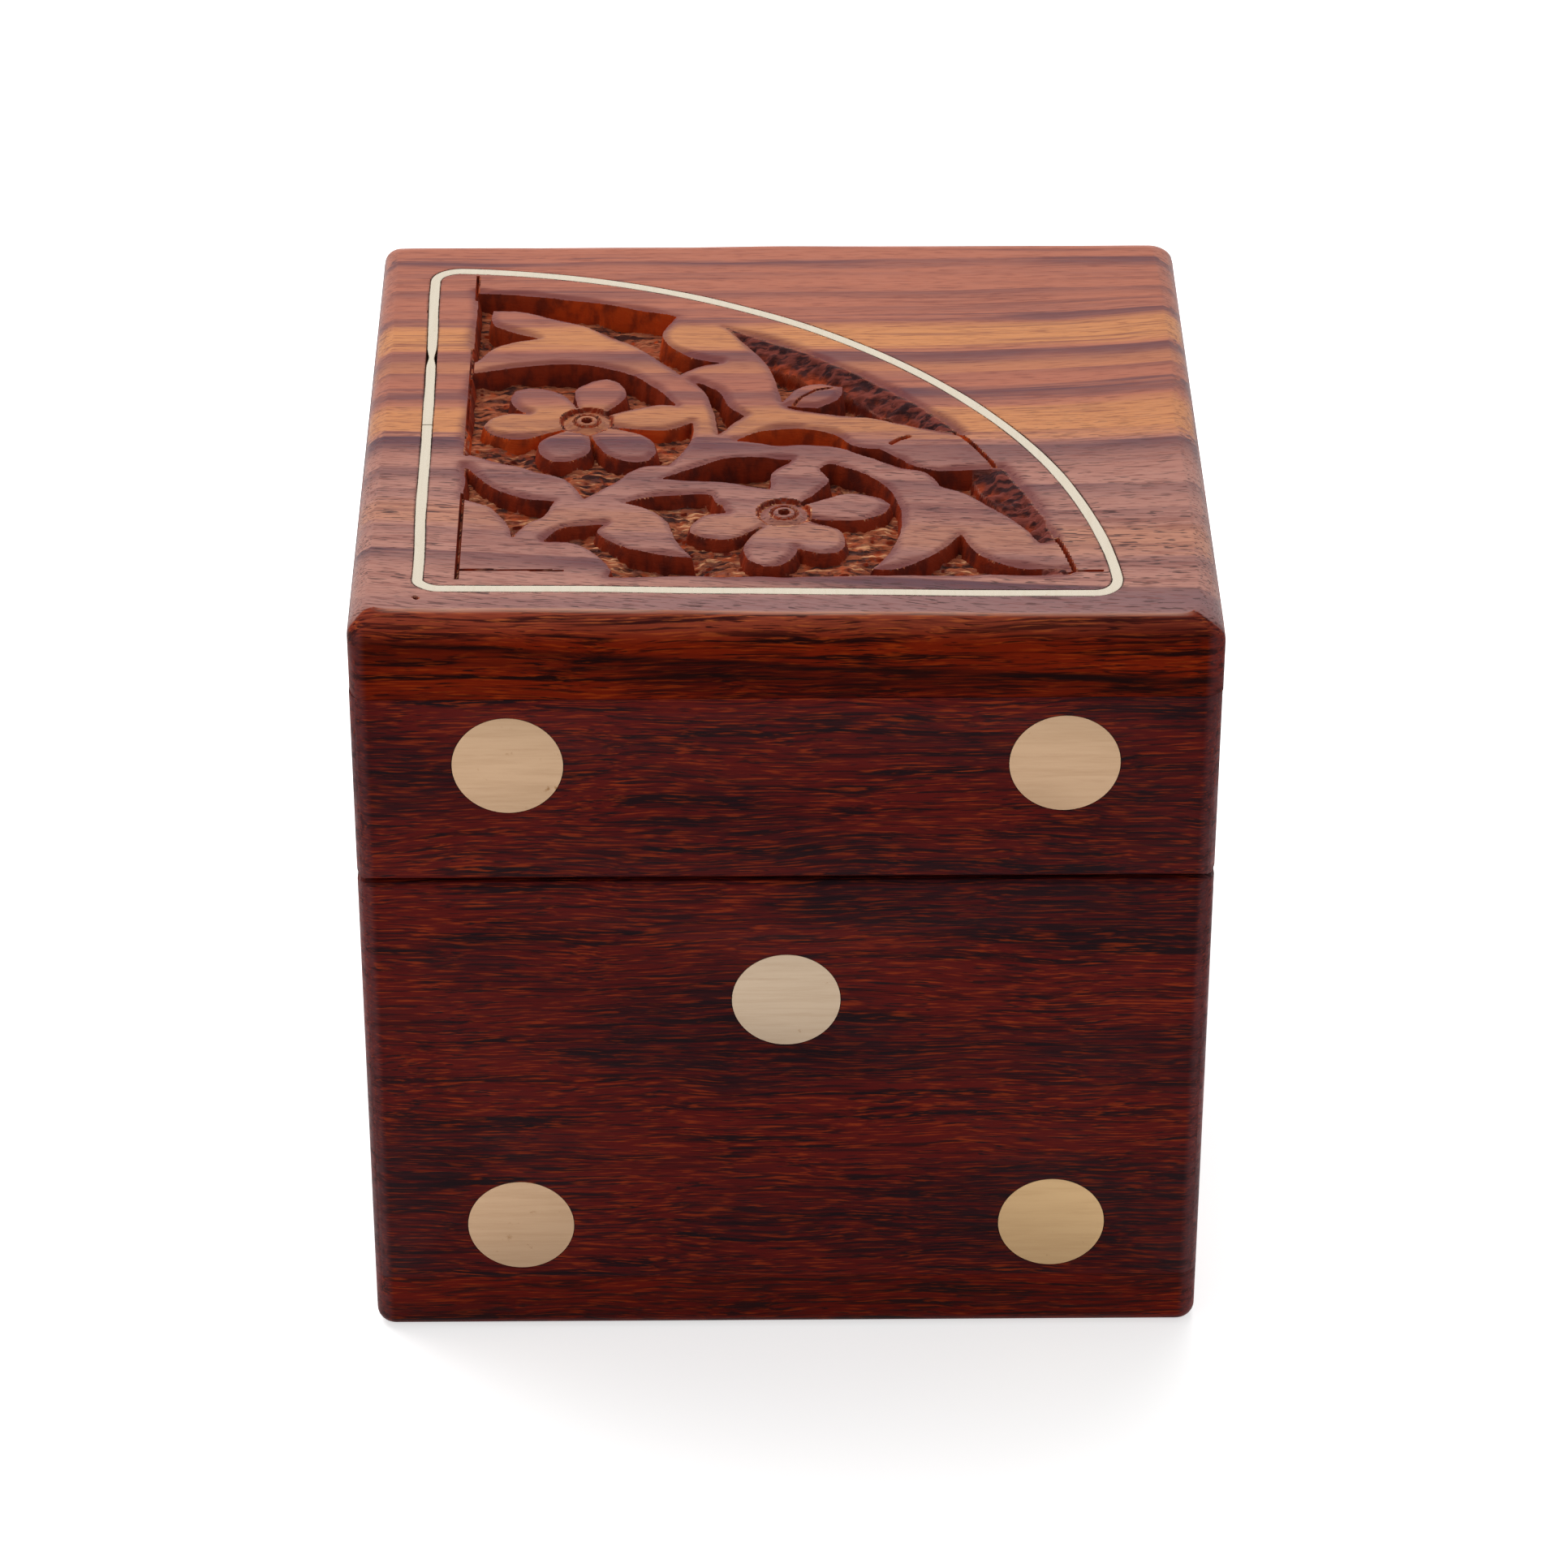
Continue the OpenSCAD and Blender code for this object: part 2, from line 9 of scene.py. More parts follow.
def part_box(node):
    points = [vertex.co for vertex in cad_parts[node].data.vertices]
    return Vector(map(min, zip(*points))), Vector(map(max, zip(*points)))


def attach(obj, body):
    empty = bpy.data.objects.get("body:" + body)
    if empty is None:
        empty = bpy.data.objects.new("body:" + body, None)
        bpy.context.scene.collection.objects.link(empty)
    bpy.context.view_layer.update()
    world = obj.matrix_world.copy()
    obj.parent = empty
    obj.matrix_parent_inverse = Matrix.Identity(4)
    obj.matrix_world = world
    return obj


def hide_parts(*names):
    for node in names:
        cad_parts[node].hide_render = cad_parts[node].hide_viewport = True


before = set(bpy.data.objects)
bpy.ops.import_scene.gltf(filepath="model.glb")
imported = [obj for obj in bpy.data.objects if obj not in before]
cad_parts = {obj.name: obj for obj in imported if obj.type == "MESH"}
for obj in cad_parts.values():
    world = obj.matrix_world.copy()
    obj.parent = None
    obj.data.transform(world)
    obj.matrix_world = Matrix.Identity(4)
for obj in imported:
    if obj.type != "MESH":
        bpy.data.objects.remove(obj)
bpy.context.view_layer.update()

# Sizes and places are in millimetres, and turned into metres where an object is made
MM = 0.001


def box_mm(node):
    """Lowest and highest corner of a CAD node, in millimetres."""
    low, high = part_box(node)
    return np.array(low) / MM, np.array(high) / MM


BOARD_LOW, BOARD_HIGH = box_mm("top_board")
STRIP_LOW, STRIP_HIGH = box_mm("inlay_strip")
TOP = BOARD_HIGH[2]
HALF = (BOARD_HIGH - BOARD_LOW)[:2] / 2
# Radius of the box's upright corners, as in the CAD model
CORNER_R = 1.5

# Camera, from the photograph's perspective: focal length in pixels of a frame 1932 pixels wide
IMAGE = 1932
FOCAL_PX = 7151.6
SENSOR = 36
CAMERA_TARGET = (0.13, 0, 30.91)
CAMERA_DISTANCE = 463.7
CAMERA_ELEVATION = 32.46
CAMERA_YAW = 0.56
CLIP_NEAR = 10
CLIP_FAR = 20000


def add_object(name, data):
    made = bpy.data.objects.new(name, data)
    bpy.context.scene.collection.objects.link(made)
    return made


def make_camera():
    elevation, yaw = math.radians(CAMERA_ELEVATION), math.radians(CAMERA_YAW)
    towards_camera = Vector((
        -math.sin(yaw) * math.cos(elevation),
        -math.cos(yaw) * math.cos(elevation),
        math.sin(elevation),
    ))
    data = bpy.data.cameras.new("camera")
    data.sensor_width = SENSOR
    data.lens = SENSOR * FOCAL_PX / IMAGE
    data.clip_start = CLIP_NEAR * MM
    data.clip_end = CLIP_FAR * MM
    camera = add_object("camera", data)
    camera.location = (Vector(CAMERA_TARGET) + towards_camera * CAMERA_DISTANCE) * MM
    camera.rotation_euler = (-towards_camera).to_track_quat("-Z", "Y").to_euler()
    bpy.context.scene.camera = camera


class Graph:
    """A node tree built from nested calls: an output socket becomes a link, anything else a constant."""

    def __init__(self, tree):
        self.tree = tree
        tree.nodes.clear()

    def outputs(self, kind, inputs=None, **settings):
        """All the outputs of a new node."""
        made = self.tree.nodes.new("ShaderNode" + kind)
        for name, value in settings.items():
            setattr(made, name, value)
        for key, value in (inputs or {}).items():
            socket = made.inputs[key]
            if isinstance(value, bpy.types.NodeSocket):
                self.tree.links.new(value, socket)
            else:
                socket.default_value = value
        return made.outputs

    def node(self, kind, inputs=None, out=0, **settings):
        return self.outputs(kind, inputs, **settings)[out]

    def math(self, operation, a, b=0.0):
        return self.node("Math", {0: a, 1: b}, operation=operation)

    def times(self, a, b):
        return self.math("MULTIPLY", a, b)

    def minus(self, a, b):
        return self.math("SUBTRACT", a, b)

    def larger(self, a, b):
        return self.math("MAXIMUM", a, b)

    def vector(self, operation, a, b):
        return self.node("VectorMath", {0: a, 1: b}, operation=operation)

    def mix(self, share, a, b):
        """Colour a turned into b by a share; the node's colours are inputs 6 and 7 and output 2."""
        return self.node("Mix", {0: share, 6: a, 7: b}, out=2, data_type="RGBA")

    def layers(self, colour, *over):
        """The colour with others laid over it in turn, each by its share."""
        for share, other in over:
            colour = self.mix(share, colour, other)
        return colour

    def noise(self, place, scale, detail=2.0, roughness=0.5, out="Fac"):
        """Noise with that many bumps per millimetre along each axis."""
        place = self.vector("MULTIPLY", place, scale)
        inputs = {"Vector": place, "Scale": 1.0, "Detail": detail, "Roughness": roughness}
        return self.node("TexNoise", inputs, out=out)

    def between(self, value, low, high, to_low=0.0, to_high=1.0):
        """The value's way from low to high, turned into a smooth way from to_low to to_high."""
        inputs = {"Value": value, "From Min": low, "From Max": high, "To Min": to_low, "To Max": to_high}
        return self.node("MapRange", inputs, interpolation_type="SMOOTHSTEP")

    def attribute(self, name):
        return self.node("Attribute", attribute_name=name, out="Fac")

    def split(self, vector):
        return tuple(self.outputs("SeparateXYZ", {"Vector": vector}))

    def bump(self, height, distance, strength, normal=None):
        """Relief with its distance in millimetres, over another relief if one is given."""
        inputs = {"Height": height, "Distance": distance * MM, "Strength": strength}
        if normal is not None:
            inputs["Normal"] = normal
        return self.node("Bump", inputs)

    def surface(self, shader, output="OutputMaterial"):
        self.outputs(output, {"Surface": shader})


def new_material(name):
    material = bpy.data.materials.new(name)
    material.use_nodes = True
    return material, Graph(material.node_tree)


def rgb(red, green, blue):
    """Colour from sRGB values of 0 to 255, as a picture program shows it."""
    def linear(c):
        c /= 255
        return c / 12.92 if c <= 0.04045 else ((c + 0.055) / 1.055) ** 2.4
    return (linear(red), linear(green), linear(blue), 1)


def grain_coordinates(g, turn=0, offset=(0, 0, 0)):
    """Object coordinates in millimetres with the grain along X; turn is the board's turn about Z."""
    place = g.node("TexCoord", out="Object")
    inputs = {"Vector": place, "Location": offset, "Rotation": (0, 0, -turn), "Scale": (1 / MM,) * 3}
    return g.node("Mapping", inputs)


# Noises of oiled rosewood, in bumps per millimetre: along the grain, then on both axes across it
WAVES = (0.05, 0.12, 0.12)
PATCHES = (0.03, 0.13, 0.13)
LINES = (0.045, 1.2, 1.2)
THREADS = (0.11, 4.5, 4.5)
FLECKS = (0.38, 6.5, 6.5)
PORES = (0.45, 7, 7)
# How far the grain wanders off its line, and the depth of its relief
WALL_WANDER = 1.2
STREAK_WANDER = 0.4
TOP_WANDER = 0.45
GRAIN_RELIEF = 0.03
# Strength of each wood's gloss
WALL_SPECULAR = 0.07
EDGE_SPECULAR = 0.03
TOP_SPECULAR = 0.25

# Tones of oiled rosewood: dark and light of its broad patches, its orange flecks, its dark lines
WALL_TONES = (rgb(57, 16, 21), rgb(110, 26, 22), rgb(180, 66, 29), rgb(28, 11, 17))
BOTTOM_TONES = (rgb(76, 15, 13), rgb(126, 27, 14), rgb(178, 62, 22), rgb(34, 9, 10))
# EDGE_TONES and ROUND_TONES colour the top board's own edge: partly painted shade, darker as the surface
# turns from up to the front, and partly the edge's darker oiled wood.
EDGE_TONES = (rgb(86, 16, 7), rgb(142, 36, 8), rgb(180, 64, 15), rgb(30, 7, 7))
ROUND_TONES = (rgb(106, 38, 28), rgb(144, 62, 42), rgb(182, 90, 48), rgb(54, 18, 18))
EDGE_OFFSET = (33, 12, 5)
# Pale line along the front arris: a painted highlight where the crease catches the light, with some wear.
WEAR_AND_HIGHLIGHT = rgb(212, 166, 146)
# Paler, greyer band along the upright corners: painted sheen, where side light catches the rounded corners.
CORNER_SHEEN = rgb(120, 70, 72)
CORNER_SHEEN_IN = 0.7
# Dark streak along the top board's front: its height in the middle, and its fall on either side
FRONT_STREAK_Z = 60.3
FRONT_STREAK_FALL = 0.04
FRONT_STREAK_LEFT = 0.03


def wavy(g, place, amount):
    """Grain that wanders off its line by up to amount, in waves some 20 mm long."""
    drift = g.vector("SUBTRACT", g.noise(place, WAVES, out="Color"), (0.5, 0.5, 0.5))
    return g.vector("ADD", place, g.vector("MULTIPLY", drift, (0, 2 * amount, 2 * amount)))


def wood_noises(g, place):
    """Noises along the grain that the colour and relief of oiled rosewood are made from."""
    patches = g.noise(place, PATCHES)
    lines = g.noise(place, LINES, detail=4, roughness=0.6)
    threads = g.noise(place, THREADS)
    flecks = g.between(g.noise(place, FLECKS, detail=3), 0.51, 0.69, 0, 0.8)
    flecks = g.times(flecks, g.between(patches, 0.35, 0.6, 0.5, 1))
    pores = g.between(g.noise(place, PORES, detail=1), 0.62, 0.7, 0, 0.85)
    return patches, lines, threads, flecks, pores


def grain_colour(g, tones, noises):
    dark, light, fleck, line = tones
    patches, lines, threads, flecks, pores = noises
    return g.layers(
        g.mix(g.between(patches, 0.4, 0.6), dark, light),
        (g.between(threads, 0.5, 0.62, 0, 0.6), light),
        (g.between(threads, 0.49, 0.37, 0, 0.75), line),
        (g.between(lines, 0.48, 0.37, 0, 0.95), line),
        (flecks, fleck),
        (pores, line),
    )


def paint_corner_sheen(g, colour, noises):
    """The colour made paler and duller along the box's four upright corners: painted sheen, the lit band
    that side light puts on the rounded corners.
    """
    _, lines, *_ = noises
    x, y, _ = g.split(grain_coordinates(g))
    along_x = g.minus(g.math("ABSOLUTE", x), HALF[0] - CORNER_R)
    along_y = g.minus(g.math("ABSOLUTE", y), HALF[1] - CORNER_R)
    share = g.between(g.math("MINIMUM", along_x, along_y), 0, CORNER_SHEEN_IN, 0, 0.5)
    return g.mix(g.times(share, g.between(lines, 0.3, 0.6, 0.5, 1)), colour, CORNER_SHEEN)


def oiled_surface(g, colour, noises, specular):
    _, lines, _, flecks, pores = noises
    relief = g.minus(g.times(flecks, 0.4), pores)
    g.surface(g.node("BsdfPrincipled", {
        "Base Color": colour,
        "Roughness": g.between(lines, 0.3, 0.7, 0.56, 0.42),
        "Specular IOR Level": specular,
        "Normal": g.bump(relief, GRAIN_RELIEF, 0.5),
    }))


def wall_wood(name, turn, offset, tones=WALL_TONES):
    """Rosewood of a wall with its grain along X after the turn."""
    material, g = new_material(name)
    noises = wood_noises(g, wavy(g, grain_coordinates(g, turn, offset), WALL_WANDER))
    # Paler upright corners: painted sheen.
    colour = paint_corner_sheen(g, grain_colour(g, tones, noises), noises)
    oiled_surface(g, colour, noises, WALL_SPECULAR)
    return material


def front_streak(g):
    """Dark line along the top board's front, with a softer shade under it."""
    x, _, z = g.split(wavy(g, grain_coordinates(g), STREAK_WANDER))
    line = g.minus(FRONT_STREAK_Z, g.times(x, FRONT_STREAK_FALL))
    left = g.larger(g.times(x, -FRONT_STREAK_LEFT), 0)
    off = g.minus(z, g.math("ADD", line, left))
    core = g.between(g.math("ABSOLUTE", off), 0.08, 0.5, 0.95, 0)
    shade = g.between(g.math("ABSOLUTE", g.math("ADD", off, 0.6)), 0.3, 1.4, 0.55, 0)
    return g.larger(core, shade)


def edge_noises(g):
    return wood_noises(g, wavy(g, grain_coordinates(g, offset=EDGE_OFFSET), WALL_WANDER))


def edge_colour(g, noises):
    """Wood of the top board's edge: deep red below, browner where it is rounded, and one dark streak. Its
    darkening down from the round is painted shade as the surface turns from up to the front, over the
    edge's own darker wood.
    """
    _, lines, *_ = noises
    streak = g.times(front_streak(g), g.between(lines, 0.62, 0.42, 0.5, 1))
    low = g.mix(streak, grain_colour(g, EDGE_TONES, noises), EDGE_TONES[-1])
    # Paler upright corners: painted sheen.
    low = paint_corner_sheen(g, low, noises)
    # Browner on the round, deep red lower down: painted shade as the surface turns from up to the front.
    return g.mix(g.attribute("upper"), low, grain_colour(g, ROUND_TONES, noises))


def edge_wood(name):
    material, g = new_material(name)
    noises = edge_noises(g)
    # The pale arris line mixed in here is a painted highlight, with some wear.
    colour = g.mix(g.times(g.attribute("worn"), 0.8), edge_colour(g, noises), WEAR_AND_HIGHLIGHT)
    oiled_surface(g, colour, noises, EDGE_SPECULAR)
    return material


# Figure of the top board. A dark streak has a crisp far edge and fades toward the front: where that
# edge meets the board's left side, how far the streak fades, and its strength.
DARK_STREAKS = [
    (26.9, 1.8, 0.85), (24.9, 1.1, 0.3), (21.5, 1.8, 0.45), (18.4, 1.1, 0.3), (17.0, 2.0, 0.8),
    (11.0, 3.2, 0.75), (7.6, 1.3, 0.3), (5.0, 2.3, 1.0), (-2.0, 3.6, 1.0), (-7.1, 2.3, 0.7),
    (-10.2, 1.2, 0.35), (-15.2, 1.9, 0.45), (-18.9, 3.0, 0.95),
]
# Orange bands: their middle at the board's left side, half their width and their strength
ORANGE_BANDS = [(13.6, 2.6, 1.0), (8.6, 1.5, 0.4), (0.6, 2.7, 0.9), (-13.4, 2.0, 0.3)]
# Right of the first place the lines bend up; in front of the second they fan out
BEND_FROM = 10.0
BEND = 0.0045
FAN_FROM = 4.0
FAN = 0.0045
# Noises of the top's wood, and of the cut wood in the carving
TOP_PATCHES = (0.06, 0.3, 0.3)
TOP_LINES = (0.03, 1.9, 1.9)
TOP_FIBRES = (0.5, 6.5, 6.5)
TOP_PORES = (0.75, 7.5, 7.5)
TOOL_MARKS = (0.9, 0.9, 0.5)
TORN_GROUND = (0.4, 1.8, 1.4)
STRAW = (0.45, 3.8, 3.4)
CUT_RELIEF = 0.25
# TOP_BROWN carries a bluish-white lift that is painted sheen; TOP_ROSE and TOP_FRONT hold the top's pinkish
# haze, also painted sheen, over the wood's own tone.
TOP_BROWN = rgb(169, 99, 76)
TOP_ORANGE = rgb(197, 129, 80)
TOP_ROSE = rgb(172, 119, 105)
TOP_LINE = rgb(110, 56, 50)
TOP_DARK = rgb(78, 42, 54)
TOP_FRONT = rgb(130, 92, 92)
TOP_PORE = rgb(62, 30, 28)
# Colour that darkens the lower part of the top's round: painted shade.
ROUND_SHADE = rgb(96, 44, 40)
RIM = rgb(104, 46, 46)
CUT_WALL = rgb(141, 45, 15)
CUT_DARK = rgb(86, 24, 13)
CUT_ORANGE = rgb(198, 74, 16)
FLOOR_MID = rgb(145, 76, 50)
FLOOR_PIT = rgb(48, 19, 16)
FLOOR_RED = rgb(168, 68, 30)
FLOOR_FIBRE = rgb(208, 151, 110)
SLOPE_LIGHT = rgb(114, 54, 46)
SLOPE_DARK = rgb(44, 18, 20)
SLOPE_RED = rgb(158, 62, 30)
GLUE = rgb(34, 16, 12)


def figure_height(g, x, y):
    """Where the grain line through a place meets the board's left side."""
    right = g.larger(g.minus(x, BEND_FROM), 0)
    bend = g.times(g.times(right, right), BEND)
    y = g.minus(y, g.times(bend, g.between(y, 18, 25, 1, 0)))
    front = g.larger(g.minus(FAN_FROM, y), 0)
    across = g.minus(x, BOARD_LOW[0])
    return g.math("ADD", y, g.times(g.times(front, across), FAN))


def dark_streaks(g, height):
    dark = 0.0
    for edge, fade, strength in DARK_STREAKS:
        below = g.minus(edge, height)
        onset = g.between(below, -0.4, 0.4, 0, strength)
        dark = g.larger(dark, g.times(onset, g.between(below, 0.3, fade, 1, 0)))
    return dark


def orange_bands(g, height):
    orange = 0.0
    for middle, half, strength in ORANGE_BANDS:
        off = g.math("ABSOLUTE", g.minus(height, middle))
        orange = g.larger(orange, g.between(off, 0.4 * half, half, strength, 0))
    return orange


def dark_pores(g, y, grain, patches):
    room = g.times(g.between(y, 6, -12, 0.15, 1), g.between(patches, 0.4, 0.6, 0.6, 1))
    return g.times(g.between(g.noise(grain, TOP_PORES, detail=1), 0.58, 0.65, 0, 0.9), room)


def land_colour(g, x, y, grain, height, patches, fibres, pores):
    lines = g.noise(grain, TOP_LINES, detail=4, roughness=0.6)
    ragged = g.math("ADD", height, g.between(lines, 0.3, 0.7, -0.5, 0.5))
    line_room = g.between(patches, 0.38, 0.62, 0.3, 1)
    # TOP_ROSE toward the front and the TOP_FRONT band along the front edge are partly painted sheen, the
    # pinkish haze of the oiled top, over the wood's own tone.
    return g.layers(
        g.mix(g.between(y, 5, -10), TOP_BROWN, TOP_ROSE),
        (orange_bands(g, ragged), TOP_ORANGE),
        (g.times(g.between(lines, 0.53, 0.33, 0, 0.65), line_room), TOP_LINE),
        (g.times(dark_streaks(g, ragged), g.between(patches, 0.35, 0.6, 0.6, 1)), TOP_DARK),
        (g.times(g.between(y, -25.2, -27, 0, 0.8), g.between(x, -32, -4, 0.35, 1)), TOP_FRONT),
        (g.between(fibres, 0.52, 0.7, 0, 0.55), TOP_LINE),
        (pores, TOP_PORE),
    )


def wall_colour(g, x, y, tool):
    """The carving's walls, fresh and orange by the stem and at the back; painted shadow takes most of the
    orange off the back walls of the deep upper-left pools.
    """
    by_stem = g.between(g.math("ABSOLUTE", g.math("ADD", y, 2)), 0.8, 1.8, 1, 0)
    # Left of x −16 the back walls keep little of the fresh orange: painted shadow of the deep upper-left
    # pools.
    at_back = g.times(g.between(y, 9, 14), g.between(x, -21, -16, 0.2, 1))
    fresh = g.times(g.larger(by_stem, at_back), g.between(tool, 0.3, 0.6, 0.3, 0.9))
    return g.mix(fresh, g.mix(g.between(tool, 0.32, 0.64), CUT_DARK, CUT_WALL), CUT_ORANGE)


def floor_colour(g, y, place, tool, torn):
    straw = g.between(g.noise(place, STRAW), 0.52, 0.64, 0, 0.9)
    straw_room = g.times(g.between(torn, 0.44, 0.56), g.between(y, 4, -14, 0.25, 1))
    return g.layers(
        g.mix(g.between(torn, 0.4, 0.54), FLOOR_PIT, FLOOR_MID),
        (g.between(tool, 0.54, 0.66, 0, 0.55), FLOOR_RED),
        (g.times(straw, straw_room), FLOOR_FIBRE),
    )


def slope_colour(g, place, tool, torn):
    _, _, z = g.split(place)
    red = g.times(g.between(z, TOP - 0.5, TOP - 1.3), g.between(tool, 0.42, 0.56, 0.1, 0.9))
    return g.mix(red, g.mix(g.between(torn, 0.42, 0.58), SLOPE_DARK, SLOPE_LIGHT), SLOPE_RED)


def top_wood(name):
    """Wood of the top board: its lands, its carving and the round of its edge."""
    material, g = new_material(name)
    place = grain_coordinates(g)
    x, y, z = g.split(wavy(g, place, TOP_WANDER))
    height = figure_height(g, x, y)
    grain = g.node("CombineXYZ", {0: x, 1: height, 2: z})
    patches = g.noise(grain, TOP_PATCHES, detail=1)
    fibres = g.noise(grain, TOP_FIBRES, detail=3)
    pores = dark_pores(g, y, grain, patches)
    tool = g.noise(place, TOOL_MARKS, detail=3)
    torn = g.noise(place, TORN_GROUND, detail=5, roughness=0.6)
    wall, floor, slope = g.attribute("wall"), g.attribute("floor"), g.attribute("slope")
    colour = g.layers(
        land_colour(g, x, y, grain, height, patches, fibres, pores),
        (g.attribute("rim"), RIM),
        (wall, wall_colour(g, x, y, tool)),
        (floor, floor_colour(g, y, place, tool, torn)),
        (slope, slope_colour(g, place, tool, torn)),
        (g.attribute("glue"), GLUE),
        # Darker down the round, by upper: painted shade as the round turns away from the light.
        (g.between(g.attribute("upper"), 1, 0, 0, 0.8), ROUND_SHADE),
        # The edge's colour, partly painted shade, where it reaches into the top material.
        (g.attribute("edge"), edge_colour(g, edge_noises(g))),
        # Pale arris line: painted highlight, with some wear.
        (g.times(g.attribute("worn"), 0.6), WEAR_AND_HIGHLIGHT),
    )
    rough = g.larger(floor, slope)
    raw = g.larger(wall, rough)
    cut_relief = g.times(g.math("ADD", tool, torn), g.larger(rough, g.times(raw, 0.4)))
    fine_relief = g.bump(g.minus(g.times(fibres, 0.4), pores), GRAIN_RELIEF, 0.6)
    g.surface(g.node("BsdfPrincipled", {
        "Base Color": colour,
        "Roughness": g.larger(g.between(fibres, 0.3, 0.7, 0.38, 0.5), g.times(raw, 0.8)),
        "Specular IOR Level": TOP_SPECULAR,
        "Normal": g.bump(cut_relief, CUT_RELIEF, 0.8, fine_relief),
    }))
    return material


# Brass: the offset and the scales of its noises, and the depth of its scratches
BRASS_OFFSET = (3, 7, 5)
SCRATCH_ACROSS = 3.0
SCRATCH_ALONG = 0.15
TARNISH_SCALE = (0.9, 0.9, 0.9)
SCRATCH_DEPTH = 0.01
# Colour and tarnish of each brass, and the two pips with a colour of their own
STRIP_BRASS = (rgb(226, 214, 194), rgb(178, 150, 112))
HINGE_BRASS = (rgb(196, 152, 84), rgb(104, 70, 34))
SCREW_BRASS = (rgb(204, 164, 96), rgb(96, 64, 32))
PIP_BRASS = rgb(187, 155, 124)
PIP_TARNISH = rgb(150, 108, 66)
PIP_TONES = {
    "base_pip_front_middle": rgb(188, 166, 142),
    "base_pip_front_right": rgb(193, 160, 118),
}


def brass(name, colour, tarnish, scratch_axis, roughness, spots):
    """Brass with fine scratches along one axis and tarnish in patches; spots is how much of it."""
    material, g = new_material(name)
    place = grain_coordinates(g, offset=BRASS_OFFSET)
    scale = [SCRATCH_ACROSS] * 3
    scale[scratch_axis] = SCRATCH_ALONG
    scratches = g.noise(place, scale, detail=4, roughness=0.7)
    patches = g.noise(place, TARNISH_SCALE, detail=4, roughness=0.65)
    dull = g.between(patches, 0.68 - 0.2 * spots, 0.8 - 0.1 * spots, 0, 0.8)
    scratched = g.between(scratches, 0.3, 0.7, roughness, roughness + 0.12)
    g.surface(g.node("BsdfPrincipled", {
        "Base Color": g.layers(colour, (g.between(scratches, 0.4, 0.7, 0, 0.1), tarnish), (dull, tarnish)),
        "Metallic": 0.85,
        "Roughness": g.math("ADD", scratched, g.times(dull, 0.2)),
        "Normal": g.bump(scratches, SCRATCH_DEPTH, 0.4),
    }))
    return material


def smooth(share):
    """The share held between 0 and 1 and eased at both ends."""
    share = np.clip(share, 0, 1)
    return share * share * (3 - 2 * share)


def bumps(x, y, size, seed):
    """Smooth random field from -1 to 1 whose bumps are about size across."""
    count = 64
    table = np.random.default_rng(seed).uniform(-1, 1, (count, count))
    u, v = x / size, y / size
    i, j = np.floor(u).astype(int), np.floor(v).astype(int)
    s, t = smooth(u - i), smooth(v - j)
    i, j, i_next, j_next = i % count, j % count, (i + 1) % count, (j + 1) % count
    low = table[i, j] * (1 - s) + table[i_next, j] * s
    high = table[i, j_next] * (1 - s) + table[i_next, j_next] * s
    return low * (1 - t) + high * t


def rough_field(x, y, fields):
    """Sum of bumps, each with its amount, its stretch on X and Y, its size and its seed."""
    return sum(amount * bumps(on_x * x, on_y * y, size, seed) for amount, on_x, on_y, size, seed in fields)


def floor_outlines(node, depth):
    """Closed outlines of a node's flat floors at that depth under the top of the board."""
    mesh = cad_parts[node].data
    places = np.array([v.co for v in mesh.vertices]) / MM
    level = np.abs(places[:, 2] - (TOP - depth)) < 0.01
    keys = [tuple(p) for p in np.round(places[:, :2], 3)]
    edges = set()
    for polygon in mesh.polygons:
        corners = list(polygon.vertices)
        if all(level[c] for c in corners) and abs(polygon.normal.z) > 0.9:
            for a, b in zip(corners, corners[1:] + corners[:1]):
                edges.add((keys[a], keys[b]))
    follow = {}
    for a, b in edges:
        if (b, a) not in edges and a != b:
            follow.setdefault(a, []).append(b)
    loops = []
    while follow:
        start = min(follow)
        loop, at = [], start
        while at in follow:
            loop.append(at)
            after = follow[at].pop()
            if not follow[at]:
                del follow[at]
            at = after
        loops.append(np.array(loop))
    return loops


# Redrawn outlines: a turn in degrees that is a real corner, the step along them, and the hand's errors
CORNER_TURN = 38
OUTLINE_STEP = 0.06
WOBBLE = 0.07
WOBBLE_SIZE = 1.5
CHIPS = 0.035
CHIP_SIZE = 0.5


def rounded_outline(loop):
    """The outline redrawn as a smooth curve between its real corners, with a hand's slight wobble."""
    before, after = loop - np.roll(loop, 1, 0), np.roll(loop, -1, 0) - loop
    cross = before[:, 0] * after[:, 1] - before[:, 1] * after[:, 0]
    sharp = np.degrees(np.abs(np.arctan2(cross, (before * after).sum(1)))) > CORNER_TURN
    made = []
    for i in range(len(loop)):
        b, c = loop[i], loop[(i + 1) % len(loop)]
        a = b if sharp[i] else loop[i - 1]
        d = c if sharp[(i + 1) % len(loop)] else loop[(i + 2) % len(loop)]
        slope, bow, twist = c - a, 2 * a - 5 * b + 4 * c - d, 3 * b - a - 3 * c + d
        steps = max(1, math.ceil(np.linalg.norm(c - b) / OUTLINE_STEP))
        for t in np.arange(0, 1, 1 / steps):
            made.append(0.5 * (2 * b + slope * t + bow * t ** 2 + twist * t ** 3))
    made = np.array(made)
    wobble = np.stack([bumps(*made.T, WOBBLE_SIZE, seed) for seed in (1, 2)], 1)
    chips = np.stack([bumps(*made.T, CHIP_SIZE, seed) for seed in (7, 8)], 1)
    return made + WOBBLE * wobble + CHIPS * chips


def segments(loops):
    starts = np.concatenate(loops)
    ends = np.concatenate([np.roll(loop, -1, 0) for loop in loops])
    return starts, ends


